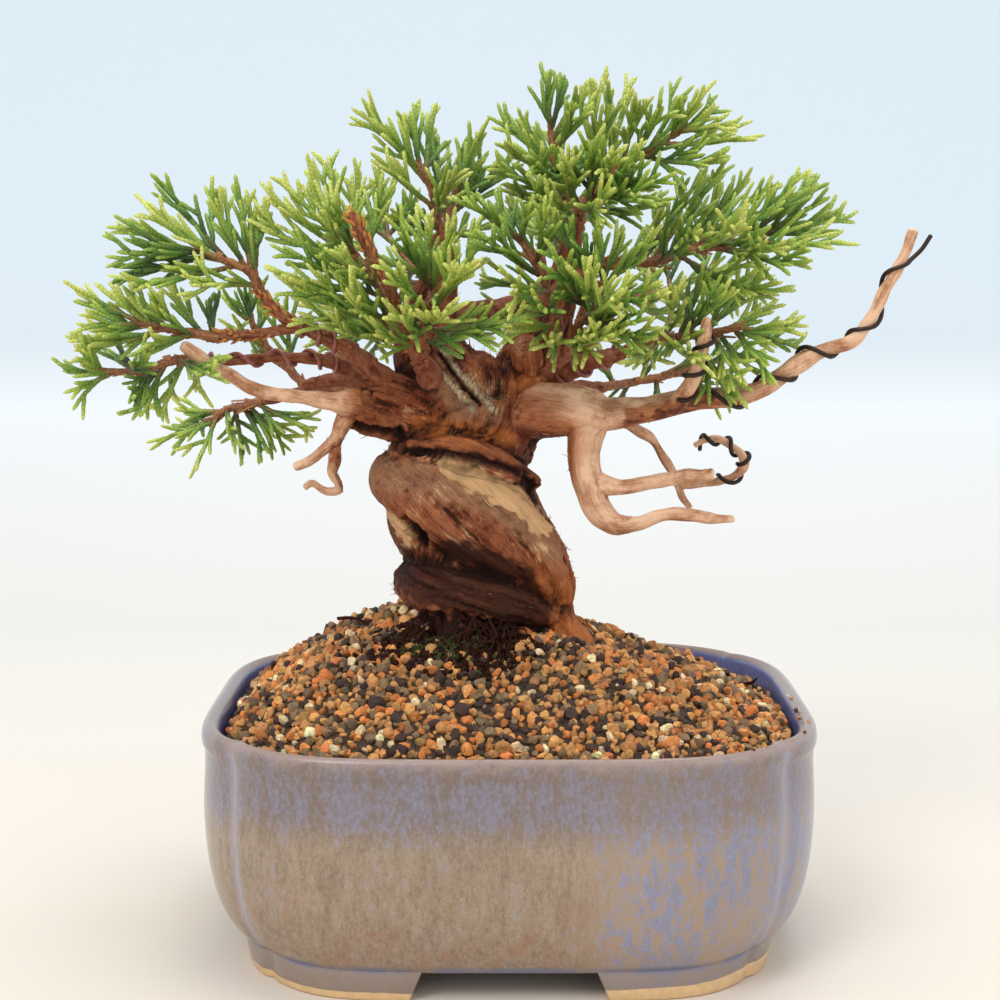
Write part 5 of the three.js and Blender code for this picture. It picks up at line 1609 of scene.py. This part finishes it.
class JUNIPER_OT_deadwood(Operator):
    """Carves the bare limbs on both sides of the trunk"""

    bl_idname = "juniper.deadwood"
    bl_label = "Bare deadwood"

    def execute(self, context):
        wood = context.scene.juniper_wood
        finish = bare_wood_finish(wood)
        for node in JINS:
            self.carve(node, wood, finish)
        return {"FINISHED"}

    def carve(self, node, wood, finish):
        """One set of bare limbs, with furrows along the grain."""
        routes, foot, join = JINS[node]
        shape = Shape()
        limbs = [Limb.follow(route, 8) for route in routes]
        for limb in limbs:
            shape.add(*tube(limb, 24, swell(limb, 24, 3, 0.09, 5) * JIN_SLIMNESS))
        jin = fuse(shape, f"{node}_bare", wood.bare_skin, 6)
        corners = corners_of(jin)
        normals = normals_of(jin)
        grain, way = grain_coordinates(corners, limbs, 0.04)
        ridges = strands(grain, 0.5, 0.035, 3)
        fine = strands(grain + 20, 1.7, 0.08, 2)
        lift = (ridges - 0.5) * 0.32 * MM + (fine - 0.5) * 0.1 * MM + lumps(corners, 4 * MM) * 0.35 * MM
        corners = corners + normals * lift[:, None]
        move_corners(jin, corners)
        valley = valley_depth(jin, corners, normals_of(jin), 8)
        away = np.linalg.norm(corners - place([foot])[0], axis=1) / MM
        warm = np.clip(1.15 - away / join, 0, 1)
        warm = np.maximum(warm, nearness(corners, normals, BARK_REMAINS))
        cut = np.zeros(len(corners))
        for limb in limbs:
            offset = corners - limb.points[-1]
            beyond = offset @ limb.along[-1] > -0.1 * limb.radii[-1]
            cut[beyond & (np.linalg.norm(offset, axis=1) < 1.7 * limb.radii[-1])] = 0.75
        # Painted shade in the furrows and hollows of the deadwood.
        dark = smoothstep(0.03, 0.16, valley) * 0.3
        write_values(jin.data, "grain", grain)
        write_values(jin.data, "height", 0.6 * ridges + 0.4 * fine)
        write_values(jin.data, "tone", np.stack([cut, dark, warm], axis=-1))
        jin.data.materials.append(finish)
        loose = Shape()
        tufts = smoothstep(0.25, 0.6, lumps(corners + 0.05, 5 * MM))
        weights = 0.04 + smoothstep(0.2, 0.9, warm) + 0.5 * tufts
        colours = [wood.jin_dark, wood.jin_light, wood.bark_ember, wood.bark_dark]
        fray(loose, corners, normals, way, weights, wood.fibres // 6, colours, np.random.default_rng(4))
        fibres = loose.piece(f"{node}_loose_fibres", fibre_finish())
        for piece in (jin, fibres):
            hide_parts(node)
            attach(piece, "root")


# ---- the wire

PER_TURN = 20  # how many points a wire has in one turn


def wind(route, span, turns, start, tail, radius):
    """The points of a wire that lies on a limb and runs on through its free points."""
    limb = Limb.follow(route, 40)
    first, last = span
    steps = int(turns * PER_TURN)
    points = []
    for step in range(steps + 1):
        index = limb.at(first + (last - first) * step / steps)
        angle = start + step / PER_TURN * 2 * math.pi
        points.append(limb.around(index, angle, limb.radii[index] * JIN_SLIMNESS + radius))
    if tail:
        points = points[:-3]
        points.extend(smooth_line(np.vstack([points[-1:], place(tail)]), 6)[1:])
    return np.array(points)


class JUNIPER_OT_wires(Operator):
    """Winds training wire round the limbs"""

    bl_idname = "juniper.wires"
    bl_label = "Training wire"

    def execute(self, context):
        settings = context.scene.juniper_wire
        finishes = {
            "dark": (wire_finish("dark_wire", settings.dark, 0.75), "dark_wire"),
            "copper": (wire_finish("copper_wire", settings.copper, 0.45), "copper_wire"),
        }
        for name, (kind, *winding) in WIRES.items():
            points = wind(*winding, settings.radius)
            shape = Shape()
            shape.add(*tube(Limb(points, np.full(len(points), settings.radius), 2), 12, blunt=0.5))
            finish, slot = finishes[kind]
            wire = shape.piece(f"{name}_wound", finish)
            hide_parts(name)
            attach(wire, "root")
        return {"FINISHED"}


# ---- the foliage

class Cord:
    """One scale-leaved cord: where it runs and how it is coloured."""

    SIDES = 6
    CROWDING = 0.85  # the rings crowd a little towards the tip
    STEEP = 0.9  # a cord that starts steeper than this has its first side across the pot
    DOME = 0.35  # how far the tip stands out, as a share of the radius

    def __init__(self, start, end, sag, radius):
        self.start = start
        self.end = end
        self.middle = (start + end) / 2 + sag
        self.radius = radius
        self.length = float(np.linalg.norm(end - start))

    def at(self, share):
        """A point along the cord."""
        rest = 1 - share
        return self.start * rest ** 2 + self.middle * 2 * rest * share + self.end * share ** 2

    def direction(self, share):
        """The way the cord runs at a point."""
        return unit((self.middle - self.start) * (1 - share) + (self.end - self.middle) * share)

    def draw(self, shape, scale_length, growth, hue, woody):
        """Adds the cord to a shape. Growth and woody are pairs, for its root and its tip."""
        rings = max(5, int(self.length / (scale_length * 0.5)))
        shares = np.linspace(0, 1, rings + 1)[:, None] ** self.CROWDING
        points = self.at(shares)
        along = unit(np.gradient(points, axis=0))
        reference = UPWARD if abs(along[0][2]) < self.STEEP else SIDEWAYS
        sides = unit(reference - along * (along @ reference)[:, None])
        ups = np.cross(along, sides)
        count = self.SIDES
        ring = np.arange(rings + 1)
        left = np.clip((1 - shares[:, 0]) * self.length / (2 * self.radius), 0, 1)
        taper = np.sqrt(np.clip(1 - (1 - left) ** 2, 0.16, 1)) * (1.08 - 0.24 * shares[:, 0])
        overlap = np.where(ring % 2 == 0, 1.08, 0.95)
        pairs = ((np.arange(count)[None] + ring[:, None] // 2) % 2) * 0.1 + 0.95
        reach = self.radius * taper[:, None] * overlap[:, None] * pairs
        angles = np.arange(count) * 2 * math.pi / count + self.length * 900
        across = sides[:, None] * np.cos(angles)[:, None] + ups[:, None] * np.sin(angles)[:, None]
        corners = (points[:, None] + across * reach[..., None]).reshape(-1, 3)
        tip = self.end + along[-1] * self.radius * self.DOME
        walls, spin, after = side_faces(rings + 1, count)
        last = rings * count
        cap = np.stack([np.full(count, last + count), last + spin, last + after], axis=-1)
        level = shares[:, 0]
        tone = np.stack([
            growth[0] + (growth[1] - growth[0]) * level,
            np.full(rings + 1, hue),
            woody[0] + (woody[1] - woody[0]) * level,
        ], axis=-1)
        tone = np.vstack([np.repeat(tone, count, axis=0), tone[-1:]])
        leaf = np.zeros((len(tone), 3))
        leaf[:-1, 0] = np.tile(np.cos(2 * angles), rings + 1)
        leaf[:-1, 1] = np.repeat(level * self.length / scale_length, count)
        leaf[-1, 1] = (self.length + self.radius * self.DOME) / scale_length
        shape.add(np.vstack([corners, tip]), [walls, cap], tone=tone, leaf=leaf)


FIRST_CORD, LAST_CORD = 0.12, 0.88  # side cords grow between these shares of a shoot
LIFT = (0.05, 0.38)  # how far a side cord turns up
SHORTEST_FORKED = 5.5 * MM  # side cords longer than this fork
LAST_FORK = 0.52  # and do so up to this share of them


def turned(direction, normal, angle):
    """A direction turned within the plane that has a given normal."""
    return unit(direction * math.cos(angle) + np.cross(normal, direction) * math.sin(angle))


def grow_shoot(shape, start, tip, foliage, chance):
    """One shoot to its tip, with side cords in two ranks and small cords on the longer of them."""
    run = tip - start
    length = float(np.linalg.norm(run))
    lean = unit(run)
    rise = UPWARD - lean * lean[2]
    sag = (rise * -0.06 + chance.normal(size=3) * 0.03) * length
    radius = foliage.cord_radius
    hue = chance.normal() * 0.55
    shoot = Cord(start, tip, sag, radius * 1.12)
    shoot.draw(shape, foliage.scale_length, (0.05, 0.85), hue, (0.9, -0.75))
    normal = unit(np.cross(lean, chance.normal(size=3)))
    place_out = FIRST_CORD * length
    rank = 1
    while place_out < length * LAST_CORD:
        share = place_out / length
        roll = chance.normal() * 1.5 * (1 - foliage.flatness)
        along = shoot.direction(share)
        plane = turned(unit(normal - along * (normal @ along)), along, roll)
        out = turned(along, plane, rank * chance.uniform(0.4, 0.75))
        out = unit(out + UPWARD * chance.uniform(*LIFT))
        reach = (4.0 * MM + 0.42 * (length - place_out)) * chance.uniform(0.75, 1.25)
        reach = min(reach, chance.uniform(7.0, 11.0) * MM)
        root = shoot.at(share)
        bend = (along * 0.1 + chance.normal(size=3) * 0.04) * reach
        side = Cord(root, root + out * reach, bend, radius * chance.uniform(0.9, 1.05))
        young = 0.05 + 0.35 * share + chance.normal() * 0.08
        side.draw(shape, foliage.scale_length, (young, young + 0.6), hue, (0.0, 0.0))
        inner = chance.uniform(0.12, 0.5)
        fork = rank
        while reach > SHORTEST_FORKED and inner < LAST_FORK:
            branch = side.at(inner)
            small = turned(side.direction(inner), plane, -fork * chance.uniform(0.3, 0.55))
            small = unit(small + chance.normal(size=3) * 0.14)
            span = (2.0 * MM + 0.65 * reach * (1 - inner)) * chance.uniform(0.65, 1.1)
            twiglet = Cord(branch, branch + small * span, chance.normal(size=3) * 0.03 * span, radius * 0.92)
            twiglet.draw(shape, foliage.scale_length, (young + 0.15, young + 0.65), hue, (0.0, 0.0))
            inner += chance.uniform(0.3, 0.5)
            fork = -fork
        place_out += foliage.spacing * chance.uniform(0.75, 1.35)
        rank = -rank


def grow_stem(shape, route, foliage, chance):
    """The woody stem of a spray, with dead scale leaves and a few buds along it."""
    stem = Limb(route, np.linspace(foliage.stem_foot, foliage.stem_end, len(route)), 10)
    count = 9
    rough = 1 + chance.uniform(-0.16, 0.16, (len(stem.points), count))
    corners, faces = tube(stem, count, stem.radii[:, None] * rough)
    shape.add(corners, faces, tone=(0.1, 0.0, 1.0), leaf=(0.0, 0.5, 0.0))
    for share in np.arange(0.02, 1, 0.9 * MM / stem.run[-1]):
        index = stem.at(share)
        turn = chance.uniform(0, 2 * math.pi)
        foot = stem.around(index, turn, stem.radii[index] * 0.7)
        out = unit(foot - stem.points[index] + stem.along[index] * 1.1 * MM)
        bud = chance.random() < 0.1
        dry = chance.random() < 0.3 * (1 - share)
        length = chance.uniform(1.1, 1.7) * MM if bud else chance.uniform(0.7, 1.9) * MM
        if dry:
            length = chance.uniform(2.5, 6.5) * MM
            out = unit(out + stem.along[index] * 0.8 + chance.normal(size=3) * 0.25)
        scale = Cord(foot, foot + out * length, out * 0, chance.uniform(0.5, 0.7) * MM if bud else 0.24 * MM)
        scale.draw(shape, 0.5 * MM, (0.1, 0.1), chance.uniform(0, 3), (1.0, 1.0))
    return stem


class JUNIPER_OT_foliage(Operator):
    """Grows every spray of scale-leaved cords"""

    bl_idname = "juniper.foliage"
    bl_label = "Sprays of foliage"

    def execute(self, context):
        foliage = context.scene.juniper_foliage
        finish = cord_finish(foliage)
        for seed, (name, (route, tips)) in enumerate(SPRAYS.items()):
            chance = np.random.default_rng(seed + 11)
            shape = Shape()
            stem = grow_stem(shape, place(route), foliage, chance)
            tips = place(tips)
            for i, tip in enumerate(tips):
                start = stem.points[stem.at((i + 1) / (len(tips) - 1))]
                grow_shoot(shape, start, tip, foliage, chance)
            cords = shape.piece(f"cords_{name}", finish)
            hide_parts(f"foliage_{name}")
            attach(cords, "root")
        return {"FINISHED"}


# ---- the stage

# Name, place, width, strength and colour of each lamp, and the point that they all look at.
LAMPS = [
    ("key_lamp", (-0.5, -0.8, 0.95), 0.6, 6, (1.0, 0.97, 0.93)),
    ("fill_lamp", (0.9, -0.6, 0.5), 0.9, 1.5, (0.94, 0.97, 1.0)),
    ("top_lamp", (0.1, 0.15, 1.1), 0.6, 5, (1.0, 0.99, 0.97)),
]
LIT_POINT = Vector((0, 0, 0.08))
# The floor from front to back, and the bend by which it turns into the backdrop.
FLOOR_FRONT, FLOOR_BACK, BEND_RADIUS, BACKDROP_TOP, HALF_WIDTH = -2.5, 2.2, 1.2, 4.0, 4.0


def soft_light(name, spot, size, energy, colour):
    """A large soft lamp that looks at the tree."""
    lamp = bpy.data.lights.new(name, "AREA")
    lamp.shape = "DISK"
    lamp.size = size
    lamp.energy = energy
    lamp.color = colour
    obj = bpy.data.objects.new(name, lamp)
    obj.location = spot
    obj.rotation_euler = (LIT_POINT - Vector(spot)).to_track_quat("-Z", "Y").to_euler()
    bpy.context.scene.collection.objects.link(obj)


def sweep_finish(stage):
    """The pale floor that turns into a pale backdrop, with painted light further back on the floor."""
    finish = Finish("pale_sweep", 0.9)
    distance = finish.times(finish.part(finish.spot(), 1), 0.3)
    # Painted light: the floor is lighter further back, where the lamps light it less.
    finish.colour(finish.ramp(distance, [
        (0.0, stage.near), (0.09, stage.floor), (0.36, stage.haze), (0.85, stage.sky)
    ]))
    haze = finish.cloud(finish.spot(), 900, 3)
    finish.relief(haze, 0.02 * MM, 0.2)
    return finish.material


class JUNIPER_OT_stage(Operator):
    """Sets the camera, the soft lamps and the plain floor"""

    bl_idname = "juniper.stage"
    bl_label = "Camera, lamps and floor"

    def execute(self, context):
        stage = context.scene.juniper_stage
        bend = [
            (FLOOR_BACK + BEND_RADIUS * math.sin(angle), BEND_RADIUS - BEND_RADIUS * math.cos(angle))
            for angle in np.linspace(0, math.pi / 2, 16)
        ]
        profile = [(FLOOR_FRONT, 0.0), *bend, (FLOOR_BACK + BEND_RADIUS, BACKDROP_TOP)]
        corners = np.array([[x, y, z] for y, z in profile for x in (-HALF_WIDTH, HALF_WIDTH)])
        starts = np.arange(len(profile) - 1) * 2
        faces = np.stack([starts, starts + 1, starts + 3, starts + 2], axis=-1)
        shape = Shape()
        shape.add(corners, [faces])
        sweep = shape.piece("pale_sweep", sweep_finish(stage))
        lens = bpy.data.cameras.new("camera")
        lens.lens = stage.lens
        lens.sensor_width = 36
        camera = bpy.data.objects.new("camera", lens)
        camera.location = (stage.aside + TREE_ORIGIN[0], -stage.distance + TREE_ORIGIN[1], stage.height)
        camera.rotation_euler = (math.pi / 2 - stage.pitch, 0, 0)
        context.scene.collection.objects.link(camera)
        context.scene.camera = camera
        for lamp in LAMPS:
            soft_light(*lamp)
        world = bpy.data.worlds.new("pale_room")
        world.use_nodes = True
        room = world.node_tree.nodes["Background"]
        room.inputs["Color"].default_value = (0.92, 0.96, 1.0, 1.0)
        room.inputs["Strength"].default_value = 0.95
        context.scene.world = world
        context.scene.view_settings.view_transform = "Standard"
        return {"FINISHED"}


# ---- the add-on

class JUNIPER_PT_build(Panel):
    """Lists the steps that dress the tree"""

    bl_idname = "JUNIPER_PT_build"
    bl_label = "Potted juniper"
    bl_space_type = "VIEW_3D"
    bl_region_type = "UI"
    bl_category = "Juniper"

    def draw(self, context):
        for step in STEPS:
            self.layout.operator(step.bl_idname)
        for key in SETTINGS:
            box = self.layout.box()
            settings = getattr(context.scene, key)
            for field in settings.__annotations__:
                box.prop(settings, field)


SETTINGS = {
    "juniper_pot": PotSettings,
    "juniper_soil": SoilSettings,
    "juniper_wood": WoodSettings,
    "juniper_wire": WireSettings,
    "juniper_foliage": FoliageSettings,
    "juniper_stage": StageSettings,
}
STEPS = [
    JUNIPER_OT_stage,
    JUNIPER_OT_pot,
    JUNIPER_OT_soil,
    JUNIPER_OT_litter,
    JUNIPER_OT_trunk,
    JUNIPER_OT_deadwood,
    JUNIPER_OT_wires,
    JUNIPER_OT_foliage,
]


def register():
    """Makes the settings, the steps and the panel known to Blender."""
    for group in SETTINGS.values():
        bpy.utils.register_class(group)
    for key, group in SETTINGS.items():
        setattr(bpy.types.Scene, key, PointerProperty(type=group))
    for step in STEPS:
        bpy.utils.register_class(step)
    bpy.utils.register_class(JUNIPER_PT_build)


def unregister():
    """Takes all of it away again."""
    bpy.utils.unregister_class(JUNIPER_PT_build)
    for step in reversed(STEPS):
        bpy.utils.unregister_class(step)
    for key in SETTINGS:
        delattr(bpy.types.Scene, key)
    for group in SETTINGS.values():
        bpy.utils.unregister_class(group)


def main():
    """Dresses the whole tree."""
    register()
    for step in STEPS:
        group, name = step.bl_idname.split(".")
        getattr(getattr(bpy.ops, group), name)()


if __name__ == "__main__":
    main()
